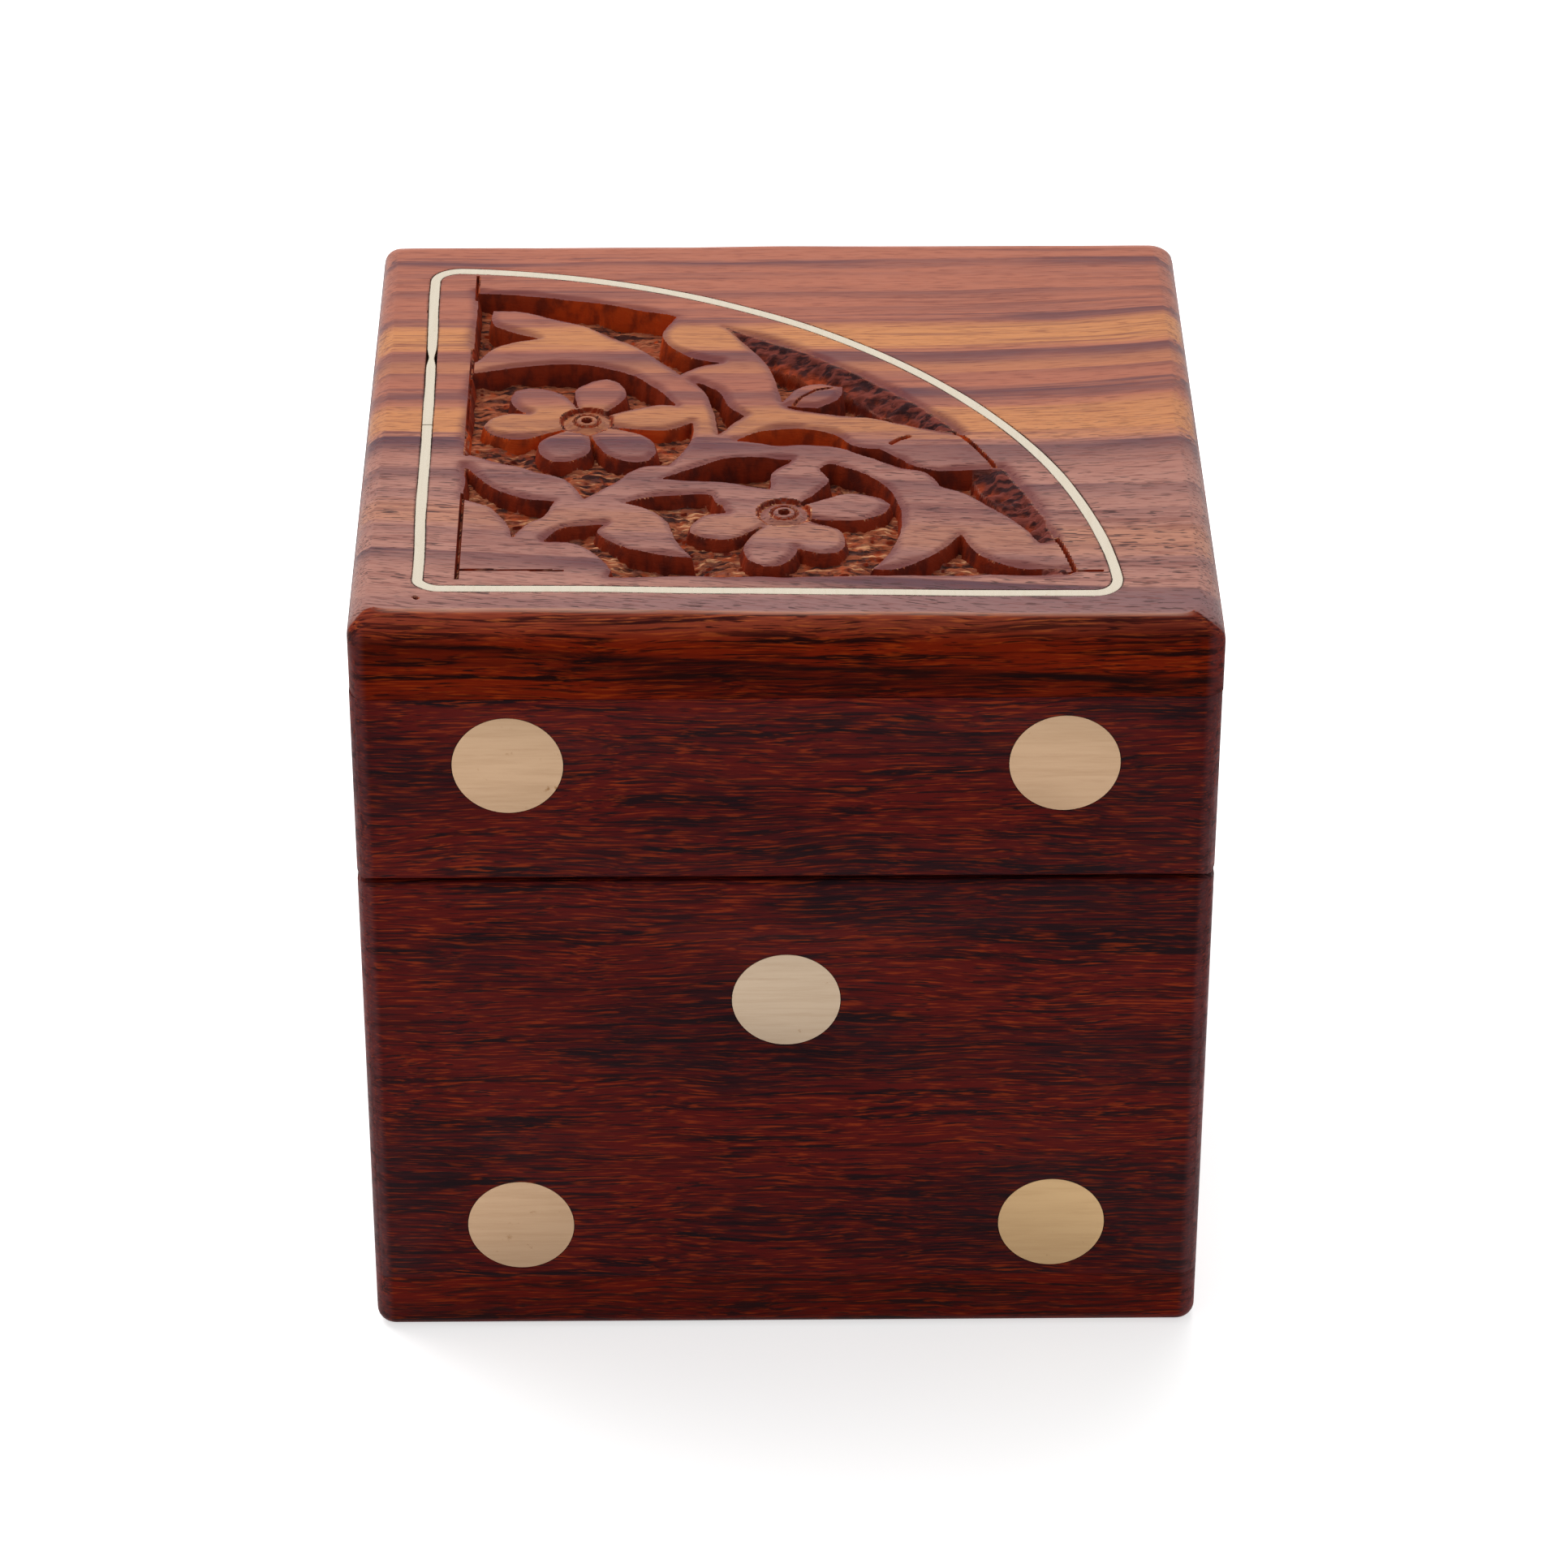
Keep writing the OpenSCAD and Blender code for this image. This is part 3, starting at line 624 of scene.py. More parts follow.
def on_segments(points, starts, ends):
    """Each point's nearest place on its own segment, and the distance to it."""
    step = ends - starts
    length2 = np.maximum((step ** 2).sum(-1), 1e-12)
    share = np.clip(((points - starts) * step).sum(-1) / length2, 0, 1)
    place = starts + share[..., None] * step
    return place, np.hypot(*(place - points).T)


def keep_nearer(best, far, points, starts, ends):
    """Takes each point's place on its own segment over into best and far where it is nearer."""
    place, distance = on_segments(points, starts, ends)
    nearer = distance < far
    best[nearer], far[nearer] = place[nearer], distance[nearer]


def nearest_on(points, starts, ends):
    """For each point, its nearest place on any of the short segments, and the distance."""
    tree = kdtree.KDTree(len(starts))
    for i, (x, y) in enumerate((starts + ends) / 2):
        tree.insert((x, y, 0), i)
    tree.balance()
    pick = np.array([tree.find((x, y, 0))[1] for x, y in points])
    best, far = on_segments(points, starts[pick], ends[pick])
    for shift in (-1, 1):
        other = (pick + shift) % len(starts)
        keep_nearer(best, far, points, starts[other], ends[other])
    return best, far


def nearest_on_route(points, route):
    """For each point, its nearest place on a knife cut of a few long segments, and the distance."""
    best, far = on_segments(points, route[0], route[1])
    for start, end in zip(route[1:-1], route[2:]):
        keep_nearer(best, far, points, start, end)
    return best, far


def inside_of(points, starts, ends):
    """Whether each point lies inside the closed outlines that the segments make."""
    inside = np.zeros(len(points), bool)
    order = np.argsort(points[:, 1])
    heights = points[order, 1]
    first = np.searchsorted(heights, np.minimum(starts[:, 1], ends[:, 1]))
    last = np.searchsorted(heights, np.maximum(starts[:, 1], ends[:, 1]))
    for (x0, y0), (x1, y1), low, high in zip(starts, ends, first, last):
        if high > low:
            these = order[low:high]
            crossing = x0 + (points[these, 1] - y0) * (x1 - x0) / (y1 - y0)
            inside[these] ^= points[these, 0] < crossing
    return inside


# Brass strip: its sides from the CAD strip's box, then the hand's deviations from it
STRIP_W = 0.8
STRIP_T = STRIP_HIGH[2] - STRIP_LOW[2]
BEND_R = 1.8
ARC_R = 53.6
LEG_X = STRIP_LOW[0] + STRIP_W / 2
LEG_Y = STRIP_LOW[1] + STRIP_W / 2
ARC_RIGHT = 24.5
ARC_BACK = 25.2
JOINT_Y = -0.4
JOINT_GAP = 0.1
STRIP_STEP = 0.2
# Pinch in the left leg: its place, its reach, and its share of the width
PINCH_Y = 10.6
PINCH_REACH = 1.0
PINCH = 0.42
STRIP_CHAMFER = 0.05
STRIP_TAPER = 0.12


def arc_centre():
    across = np.array([ARC_RIGHT - LEG_X, LEG_Y - ARC_BACK])
    chord = np.linalg.norm(across)
    middle = np.array([LEG_X + ARC_RIGHT, LEG_Y + ARC_BACK]) / 2
    return middle + np.array([across[1], -across[0]]) / chord * math.sqrt(ARC_R ** 2 - (chord / 2) ** 2)


ARC_C = arc_centre()


def turn_points(centre, radius, start, end):
    count = max(2, math.ceil(abs(end - start) * radius / STRIP_STEP))
    angles = np.linspace(start, end, count)
    return centre + radius * np.stack([np.cos(angles), np.sin(angles)], 1)


def line_points(a, b):
    count = max(2, math.ceil(math.dist(a, b) / STRIP_STEP))
    return np.linspace(a, b, count)


def strip_line():
    """Centre line of the strip, from its butt joint clockwise round the sector and back to it."""
    inner = ARC_R - BEND_R
    # Centres of the three bends
    front = np.array([LEG_X + BEND_R, LEG_Y + BEND_R])
    back = np.array([front[0], ARC_C[1] + math.sqrt(inner ** 2 - (front[0] - ARC_C[0]) ** 2)])
    right = np.array([ARC_C[0] + math.sqrt(inner ** 2 - (front[1] - ARC_C[1]) ** 2), front[1]])
    out_back = math.atan2(*(back - ARC_C)[::-1])
    out_right = math.atan2(*(right - ARC_C)[::-1])
    parts = [
        line_points((LEG_X, JOINT_Y + JOINT_GAP / 2), (LEG_X, back[1])),
        turn_points(back, BEND_R, math.pi, out_back),
        turn_points(ARC_C, ARC_R, out_back, out_right),
        turn_points(right, BEND_R, out_right, -math.pi / 2),
        line_points((right[0], LEG_Y), (front[0], LEG_Y)),
        turn_points(front, BEND_R, -math.pi / 2, -math.pi),
        line_points((LEG_X, front[1]), (LEG_X, JOINT_Y - JOINT_GAP / 2)),
    ]
    line = np.concatenate([parts[0]] + [p[1:] for p in parts[1:]])
    return line + strip_drift(line)


def strip_drift(line):
    """How far the hand-cut groove strays from the ruled one, as the photograph shows."""
    x, y = line.T
    on_left = smooth((LEG_X + 3 - x) / 3)
    on_front = smooth((LEG_Y + 3 - y) / 3)
    drift_x = on_left * (-0.35 * smooth((y + 4) / 26) + 0.15 * smooth((-y - 6) / 16))
    drift_y = on_front * (0.75 - 1.15 * smooth((x + 30) / 56))
    drift_x = drift_x + 0.06 * bumps(x, y, 7, 3)
    drift_y = drift_y + 0.06 * bumps(x, y, 7, 4)
    return np.stack([drift_x, drift_y], 1)


def strip_width(line):
    """Width of the strip along its line, with the pinch in its left leg."""
    x, y = line.T
    pinch = np.exp(-((y - PINCH_Y) / PINCH_REACH) ** 2) * (x < LEG_X + 2)
    return STRIP_W * (1 + 0.06 * bumps(x, y, 3, 5)) * (1 - PINCH * pinch)


def mesh_object(name, vertices, faces, material, body, smooth_angle):
    """A piece from vertices in millimetres, on a body, smooth but for edges over that angle in degrees."""
    mesh = bpy.data.meshes.new(name)
    mesh.from_pydata((np.asarray(vertices) * MM).tolist(), [], faces)
    mesh.materials.append(material)
    mesh.validate()
    mesh.polygons.foreach_set("use_smooth", [True] * len(mesh.polygons))
    mesh.set_sharp_from_angle(angle=math.radians(smooth_angle))
    made = add_object(name, mesh)
    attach(made, body)
    return made


def make_strip(line, material):
    width = strip_width(line)
    along = np.gradient(line, axis=0)
    along /= np.linalg.norm(along, axis=1)[:, None]
    left = np.stack([-along[:, 1], along[:, 0]], 1)
    # Section across the strip: share of the half width, inset, and depth under the top
    section = [
        (-1, STRIP_TAPER, STRIP_T), (-1, 0, STRIP_CHAMFER), (-1, STRIP_CHAMFER, 0), (-0.4, 0, 0),
        (0.4, 0, 0), (1, STRIP_CHAMFER, 0), (1, 0, STRIP_CHAMFER), (1, STRIP_TAPER, STRIP_T),
    ]
    rows = []
    for side, inset, depth in section:
        reach = side * width / 2 - math.copysign(inset, side)
        rows.append(np.column_stack([line + left * reach[:, None], np.full(len(line), TOP - depth)]))
    count = len(section)
    vertices = np.stack(rows, 1).reshape(-1, 3)
    faces = []
    for i in range(len(line) - 1):
        for k in range(count):
            a, b = i * count + k, i * count + (k + 1) % count
            faces.append((a, b, b + count, a + count))
    last = (len(line) - 1) * count
    faces += [tuple(reversed(range(count))), tuple(range(last, last + count))]
    strip = mesh_object("brass_strip", vertices, faces, material, "lid", 30)
    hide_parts("inlay_strip")


# Carving: its depth in the CAD model, the run of its walls, and the arc that bounds it
CARVE_T = 1.7
WALL_RUN = 0.28
FIELD_R = ARC_R - 3.4
# Rough slope under the arc: its width, start and share of the depth, and the step at its foot
SLOPE_W = 2.1
SLOPE_FROM_X = -6
SLOPE_SHARE = 0.62
SLOPE_STEP = 0.3
# Flowers' buttons: centres, and radii of their edge, ring and eye
FLOWER_CENTRES = [(-15.0, 0.2), (0.0, -14.1)]
BUTTON_R = 2.0
RING_R = 0.95
EYE_R = 0.42
# Knife cuts on the lands: width, depth, then the points that the cut runs through
KNIFE_CUTS = [
    (0.34, 0.9, [(-24.15, -11.0), (-24.15, -23.6)]),
    (0.26, 0.5, [(-24.2, 24.2), (-24.15, 20.4)]),
    (0.20, 0.5, [(-24.0, -22.4), (-19.0, -22.5), (-16.4, -22.6)]),
    (0.30, 0.7, [(13.2, -1.6), (14.6, -4.0), (16.0, -7.1)]),
    (0.30, 0.7, [(20.2, -18.0), (20.8, -20.4), (21.3, -22.9)]),
    (0.26, 0.5, [(20.5, -23.1), (23.3, -23.0)]),
    (0.40, 0.6, [(8.3, -3.6), (8.9, -3.0), (9.6, -2.6)]),
    (0.22, 0.35, [(0.9, 2.7), (1.6, 3.9), (2.6, 4.9), (3.9, 5.3)]),
    (0.25, 0.5, [(-24.1, 12.0), (-24.2, 3.0), (-24.1, -5.0)]),
    (0.20, 0.4, [(-20.3, -15.6), (-20.2, -17.3)]),
    (0.30, 0.6, [(-27.1, -26.3), (-26.95, -26.5)]),
]
# Depth of the carving's floor at a place; between places it is shaded from one to the next
FLOOR_DEPTHS = [
    (-14, 17, 2.1), (-22, 14, 1.7), (-22, 5, 1.6), (-15, 8, 1.9), (-10, 6, 1.6), (-9, -1.5, 1.1),
    (-21, -1, 1.1), (-18, -4, 1.2), (-12, -4, 1.2), (-13, -8.5, 1.3), (-5, 7, 1.7), (2, 8, 2.1),
    (9, 2, 1.9), (0, -2, 1.9), (-3.5, -7, 2.1), (6, -8, 1.5), (-8.5, -12.5, 1.1), (-19.5, -12.5, 1.4),
    (-15, -17, 1.2), (-8, -21.5, 1.5), (-5, -17, 0.9), (2, -18, 1.0), (6.5, -17, 1.0), (2, -21.5, 1.2),
    (12.7, -20, 1.3), (13.5, -9, 1.7), (17.5, -14, 1.6),
]
# Torn wood of the floors and lumps of the slope, as rough_field reads them, and their heights
TORN_FIELDS = [(0.5, 0.7, 1, 1.1, 21), (0.35, 0.6, 1, 0.5, 22), (0.3, 0.6, 1.8, 0.28, 23)]
LUMP_FIELDS = [(0.5, 1, 1, 1.4, 33), (0.35, 1, 1, 0.6, 34), (0.2, 1, 1, 0.3, 35)]
TORN_HEIGHT = 0.38
LUMP_HEIGHT = 0.6
# Ridges that the gouge left across some floors: their spacing, and their share of the floor's roughness
GOUGE_STEP = 0.8
GOUGE_SHARE = 0.5
# Groove of the strip: half its width, the run of its walls, and the depth of the round along it
GROOVE_PLAY = 0.05
GROOVE_HALF = STRIP_W / 2 + GROOVE_PLAY
GROOVE_RUN = 0.12
GROOVE_ROUND = 0.05
# Board's grid: fine cells over the carving and at the worn round, wide ones between them
CELL = 0.12
WIDE_CELL = 0.4
LAST_CELL = 0.3
FINE_LOW = STRIP_LOW[:2] - (0.8, 1.2)
FINE_HIGH = STRIP_HIGH[:2] + (1.2, 0.8)
# Worn round along the top's edges, as ruled: how far in, how many rings, how far down in front
ROUND_IN = 1.8
ROUND_RINGS = 12
ROUND_DOWN = 2.8
EDGE_ZONE = 4.0
# Each side's round: its share of how far it comes down in front, how far it reaches in, and how much
# that varies, with the size and seed of the variation
ROUNDS = {
    "front": (1.0, 2.5, 0.1, 9, 11),
    "left": (0.6, 1.3, 0.3, 11, 13),
    "right": (0.65, 1.7, 0.3, 11, 14),
    "back": (0.45, 1.5, 0.2, 9, 12),
}
FRONT_NARROWING = 1.2
# Board's sides: how far under the round their first ring lies, and the chamfer at their foot
SIDE_RING_DOWN = 1.2
SIDE_CHAMFER = 0.06


def axis_lines(low, high, fine_low, fine_high):
    """Grid lines across the board: rings of the worn round, wide steps, and fine ones over the carving."""
    rings = np.linspace(0, ROUND_IN, ROUND_RINGS + 1)
    start, end = low + ROUND_IN, high - ROUND_IN
    return np.concatenate([
        low + rings,
        [start + CELL],
        np.arange(start + WIDE_CELL, fine_low, WIDE_CELL),
        np.arange(fine_low, fine_high, CELL),
        np.arange(fine_high, end - LAST_CELL, WIDE_CELL),
        [end - CELL],
        high - rings[::-1],
    ])


def round_in_at(side, along):
    """How far the hand-sanded round reaches in from a face, along that edge."""
    _, reach, varies, size, seed = ROUNDS[side]
    if side == "front":
        reach = reach - FRONT_NARROWING * smooth((along + 30) / 60)
    return reach + varies * bumps(along, along * 0, size, seed)


def worn_inset(inset, reach):
    """Distance from the face of a grid line that would lie at inset if the round were ROUND_IN wide."""
    inner = reach + (inset - ROUND_IN) * (EDGE_ZONE - reach) / (EDGE_ZONE - ROUND_IN)
    return np.where(inset < ROUND_IN, inset / ROUND_IN * reach, np.where(inset < EDGE_ZONE, inner, inset))


def round_share(x, y):
    """How far the sanded round comes down a face near a place, as a share of how far it does in front."""
    off_faces = {"front": HALF[1] + y, "left": HALF[0] + x, "right": HALF[0] - x, "back": HALF[1] - y}
    nearest = np.minimum.reduce(list(off_faces.values()))
    total = weights = 0
    for side, distance in off_faces.items():
        weight = np.exp((nearest - distance) / 0.8)
        total, weights = total + weight * ROUNDS[side][0], weights + weight
    return total / weights


def board_grid():
    """The grid's places in plan, their ruled insets, and how much nearer the front than a side they are."""
    xs, ys = (axis_lines(BOARD_LOW[i], BOARD_HIGH[i], FINE_LOW[i], FINE_HIGH[i]) for i in (0, 1))
    x, y = np.meshgrid(xs, ys, indexing="ij")
    inset = np.minimum(HALF[0] - np.abs(x), HALF[1] - np.abs(y))
    lead = HALF[0] - np.abs(x) - HALF[1] - y
    # The arris has tighter corners at the back than in front
    arris_r = 0.6 + 0.9 * smooth(0.5 - y / 20)
    radius = CORNER_R + (arris_r - CORNER_R) * np.minimum(inset / ROUND_IN, 1)
    radius = np.maximum(radius * (1 - smooth((inset - ROUND_IN) / (EDGE_ZONE - ROUND_IN))), 1e-6)
    cx, cy = HALF[0] - inset - radius, HALF[1] - inset - radius
    dx, dy = np.abs(x) - cx, np.abs(y) - cy
    corner = (dx > 0) & (dy > 0)
    far = np.where(corner, np.hypot(dx, dy), 1)
    x = np.where(corner, np.sign(x) * (cx + radius * dx / far), x)
    y = np.where(corner, np.sign(y) * (cy + radius * dy / far), y)
    left = worn_inset(HALF[0] + x, round_in_at("left", y)) - HALF[0]
    right = HALF[0] - worn_inset(HALF[0] - x, round_in_at("right", y))
    front = worn_inset(HALF[1] + y, round_in_at("front", x)) - HALF[1]
    back = HALF[1] - worn_inset(HALF[1] - y, round_in_at("back", x))
    x = np.where(x < 0, left, right)
    y = np.where(y < 0, front, back)
    return x, y, inset, lead


def snap(points, targets, reach, free):
    """Moves each free point that has a target within reach onto it, and marks it as taken."""
    hit = free & (np.hypot(*(targets - points).T) < reach)
    points[hit] = targets[hit]
    free &= ~hit


def snap_to_edges(points, outlines, line):
    """Moves points close to an edge of the carving, the groove or a knife cut onto it."""
    free = np.ones(len(points), bool)
    tiny = 1e-9
    edge, off = nearest_on(points, *outlines)
    foot = edge + (points - edge) / np.maximum(off, tiny)[:, None] * WALL_RUN
    foot[~inside_of(points, *outlines)] = math.inf
    snap(points, edge, 0.5 * CELL, free)
    snap(points, foot, 0.5 * CELL, free)
    middle, off = nearest_on(points, line[:-1], line[1:])
    away = (points - middle) / np.maximum(off, tiny)[:, None]
    for reach in (GROOVE_HALF, GROOVE_HALF - GROOVE_RUN):
        snap(points, middle + away * reach, 0.5 * CELL, free)
    for _, _, route in KNIFE_CUTS:
        cut, _ = nearest_on_route(points, np.array(route))
        snap(points, cut, 0.4 * CELL, free)


def floor_depth(x, y):
    weights = [1 / (0.5 + (x - at_x) ** 2 + (y - at_y) ** 2) ** 2 for at_x, at_y, _ in FLOOR_DEPTHS]
    return sum(weight * depth for weight, (_, _, depth) in zip(weights, FLOOR_DEPTHS)) / sum(weights)


def carved_marks(x, y, off, inside):
    """Depth, cut wood, rough slope and dark rims at places that lie that far off a wall's upper edge."""
    torn = rough_field(x, y, TORN_FIELDS)
    gouged = np.abs(np.sin(math.pi * (y + 0.4 * bumps(x, y, 1.6, 25)) / GOUGE_STEP))
    torn = torn + GOUGE_SHARE * gouged * smooth(0.5 + bumps(x, y, 3.5, 29))
    from_arc = FIELD_R - np.hypot(x - ARC_C[0], y - ARC_C[1])
    slope_w = SLOPE_W * (1 + 0.25 * bumps(x, y, 3, 24))
    slope = SLOPE_SHARE * np.clip(from_arc / slope_w, 0, 1)
    slope = slope + (1 - SLOPE_SHARE) * smooth((from_arc - slope_w) / SLOPE_STEP)
    under_arc = x > SLOPE_FROM_X
    on_slope = inside & under_arc & (from_arc < slope_w)
    wall = np.clip(off / WALL_RUN, 0, 1)
    share = np.where(under_arc, np.minimum(wall, slope), wall)
    full_depth = floor_depth(x, y)
    depth = np.where(inside, full_depth * share + TORN_HEIGHT * torn * share, 0)
    lumps = LUMP_HEIGHT * rough_field(x, y, LUMP_FIELDS)
    depth = np.where(on_slope, full_depth * share + lumps * smooth(from_arc / 0.5), depth)
    # Shoulder that the knife left along each land's edge, now narrow and crisp, now wide and soft
    soft = 0.5 + 0.5 * bumps(x, y, 2.2, 28)
    shoulder = (0.06 + 0.2 * soft) * smooth(1 - off / (0.25 + 0.6 * soft))
    depth = np.where(inside & (share > 0.05), np.maximum(depth, shoulder), shoulder)
    # The lands are darker at their rims, and a little in the whole carved field
    field = smooth(from_arc) * smooth(x - LEG_X - 2.5) * smooth(y - LEG_Y - 3)
    rim = smooth(1 - off / (0.6 + 0.9 * soft)) * ~inside * (0.55 + 0.4 * soft)
    rim = np.maximum(rim, (0.12 + 0.13 * smooth((6 - y) / 8)) * field)
    return {"depth": depth, "cut": inside.astype(float), "slope": on_slope, "rim": rim}


def add_knife_cuts(marks, points):
    for width, cut_depth, route in KNIFE_CUTS:
        _, far = nearest_on_route(points, np.array(route))
        vee = cut_depth * np.clip(1 - far / (width / 2), 0, 1)
        marks["cut"] = np.maximum(marks["cut"], vee > 0.05)
        marks["depth"] = np.maximum(marks["depth"], vee)


def button_depth(r):
    """Turned-looking button in a flower's middle: a step down at its edge, a ring and an eye."""
    step = 0.34 * smooth((BUTTON_R - r) / 0.1) * (1 - smooth((BUTTON_R - 0.3 - r) / 0.8))
    ring = 0.3 * np.exp(-((r - RING_R) / 0.12) ** 2)
    eye = 0.7 * smooth((EYE_R - r) / 0.15)
    return np.maximum(np.maximum(step, ring), eye) * (r < BUTTON_R)


def add_buttons(marks, points):
    for centre in FLOWER_CENTRES:
        r = np.hypot(*(points - centre).T)
        turned = (np.abs(r - BUTTON_R + 0.05) < 0.12) | (np.abs(r - RING_R) < 0.1) | (r < EYE_R)
        marks["cut"] = np.maximum(marks["cut"], turned)
        # The whole button gets the rim's darker colour: painted shade in its shallow dish.
        marks["rim"] = np.maximum(marks["rim"], 0.45 * (r < BUTTON_R))
        marks["depth"] = np.maximum(marks["depth"], button_depth(r))


def add_groove(marks, points, line):
    """The strip's groove, the slight round along it, and dark glue in places beside the brass."""
    _, far = nearest_on(points, line[:-1], line[1:])
    beside = far - GROOVE_HALF
    in_groove = np.clip((GROOVE_HALF - far) / GROOVE_RUN, 0, 1)
    depth = np.maximum(marks["depth"], (STRIP_T + GROOVE_PLAY) * in_groove)
    marks["depth"] = np.maximum(depth, GROOVE_ROUND * smooth(1 - beside / 0.12) * (beside >= 0))
    marks["glue"] = smooth(1 - beside / 0.1) * (0.5 + 0.45 * bumps(*points.T, 2.5, 37))


def carve(points, inset, line):
    """Depth of the carving and its marks at each plan point, once points near an edge are moved onto it."""
    outlines = segments([rounded_outline(loop) for loop in floor_outlines("top_board", CARVE_T)])
    fine = (points > FINE_LOW + 0.1).all(1) & (points < FINE_HIGH - 0.1).all(1)
    near = np.where(fine & (inset > ROUND_IN + 0.2))[0]
    moved = points[near]
    snap_to_edges(moved, outlines, line)
    points[near] = moved
    _, off = nearest_on(moved, *outlines)
    inside = inside_of(moved, *outlines) & (off > 1e-4)
    marks = carved_marks(*moved.T, off, inside)
    add_knife_cuts(marks, moved)
    add_buttons(marks, moved)
    add_groove(marks, moved, line)
    everywhere = {name: np.zeros(len(points)) for name in marks}
    for name, values in marks.items():
        everywhere[name][near] = values
    return everywhere


def round_drop(points, inset):
    radius = (ROUND_IN ** 2 + ROUND_DOWN ** 2) / (2 * ROUND_IN)
    drop = ROUND_DOWN - np.sqrt(radius ** 2 - (radius - np.minimum(inset, ROUND_IN)) ** 2)
    return drop * round_share(*points.T)


def with_sides(top, shape):
    """Vertices and faces of the whole board, and the quads of its top."""
    index = np.arange(len(top)).reshape(shape)
    quads = np.stack([index[:-1, :-1], index[1:, :-1], index[1:, 1:], index[:-1, 1:]], -1).reshape(-1, 4)
    outline = np.concatenate([index[:-1, 0], index[-1, :-1], index[:0:-1, -1], index[0, :0:-1]])
    heights = (TOP - ROUND_DOWN - SIDE_RING_DOWN, BOARD_LOW[2] + SIDE_CHAMFER, BOARD_LOW[2])
    rows, faces, above = [top], quads.tolist(), outline
    for height, inset in zip(heights, (0, 0, SIDE_CHAMFER)):
        ring = top[outline]
        ring[:, :2] -= inset * np.sign(ring[:, :2])
        ring[:, 2] = height
        below = np.arange(len(outline)) + sum(len(row) for row in rows)
        rows.append(ring)
        faces += np.stack([above, below, np.roll(below, -1), np.roll(above, -1)], -1).tolist()
        above = below
    faces.append(above[::-1].tolist())
    return np.concatenate(rows), faces, quads


def edge_share(inset, lead):
    """Where the edge's darker colour shows, partly painted shade: from the front's arris down, lower on the
    other sides.
    """
    edge_from = 0.25 + (ROUND_IN - 0.25) * smooth((lead + 1.1) / 1.2)
    return smooth(0.5 + (edge_from - inset) / 0.15)


def wear_and_highlight_share(points, inset, lead):
    """Pale line along the front's arris: a painted highlight where the crease catches the light, with some
    wear from hands.
    """
    patchy = 0.65 + 0.35 * bumps(*points.T, 4, 41)
    return np.exp(-((inset - ROUND_IN + 0.05) / 0.14) ** 2) * patchy * smooth(0.1 + lead / 2.5)


def face_shares(vertices, quads, marks):
    """How far each face is a steep wall, a floor or the rough slope of the carving."""
    corners = vertices[quads]
    normal = np.cross(corners[:, 2] - corners[:, 0], corners[:, 3] - corners[:, 1])
    upright = np.abs(normal[:, 2]) / np.maximum(np.linalg.norm(normal, axis=1), 1e-12)
    steep = smooth((0.8 - upright) / 0.3)
    cut = marks["cut"][quads].max(1)
    slope = marks["slope"][quads].mean(1)
    return {
        "wall": cut * steep * (1 - slope),
        "floor": cut * (1 - steep) * (1 - slope),
        "slope": cut * slope,
    }


def mark_mesh(mesh, domain, marks):
    """Stores each named array as an attribute that a material can read, with zeros after its end."""
    for name, values in marks.items():
        attribute = mesh.attributes.new(name, "FLOAT", domain)
        padded = np.zeros(len(attribute.data), np.float32)
        padded[:len(values)] = values
        attribute.data.foreach_set("value", padded)


def make_top_board(line, material, edge_material):
    x, y, inset, lead = board_grid()
    points = np.stack([x.ravel(), y.ravel()], 1)
    inset, lead = inset.ravel(), lead.ravel()
    marks = carve(points, inset, line)
    rounded = round_drop(points, inset)
    sanded = 0.012 * (1 + bumps(*points.T, 6, 31))
    top = np.column_stack([points, TOP - marks["depth"] - rounded - sanded])
    vertices, faces, quads = with_sides(top, x.shape)
    board = mesh_object("carved_top_board", vertices, faces, material, "lid", 35)
    board.data.materials.append(edge_material)
    edge = edge_share(inset, lead)
    edge_faces = np.ones(len(faces), np.int32)
    edge_faces[:len(quads)] = edge[quads].min(1) > 0.49
    board.data.polygons.foreach_set("material_index", edge_faces)
    mark_mesh(board.data, "POINT", {
        "rim": marks["rim"],
        "glue": marks["glue"],
        # worn marks the pale arris line, a painted highlight with some wear.
        "worn": wear_and_highlight_share(points, inset, lead),
        # upper falls from the top down the round, and edge marks where the edge's colour shows: the
        # materials use both for painted shade.
        "upper": smooth(1 - (rounded - 0.3) / 1.6),
        "edge": edge,
    })
    mark_mesh(board.data, "FACE", face_shares(vertices, quads, marks))
    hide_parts("top_board")


# Bottom board: rounding of its foot, points on a quarter turn, and chamfer of its upper edge
FOOT_R = 1.2
QUARTER_POINTS = 9
UPPER_CHAMFER = 0.03


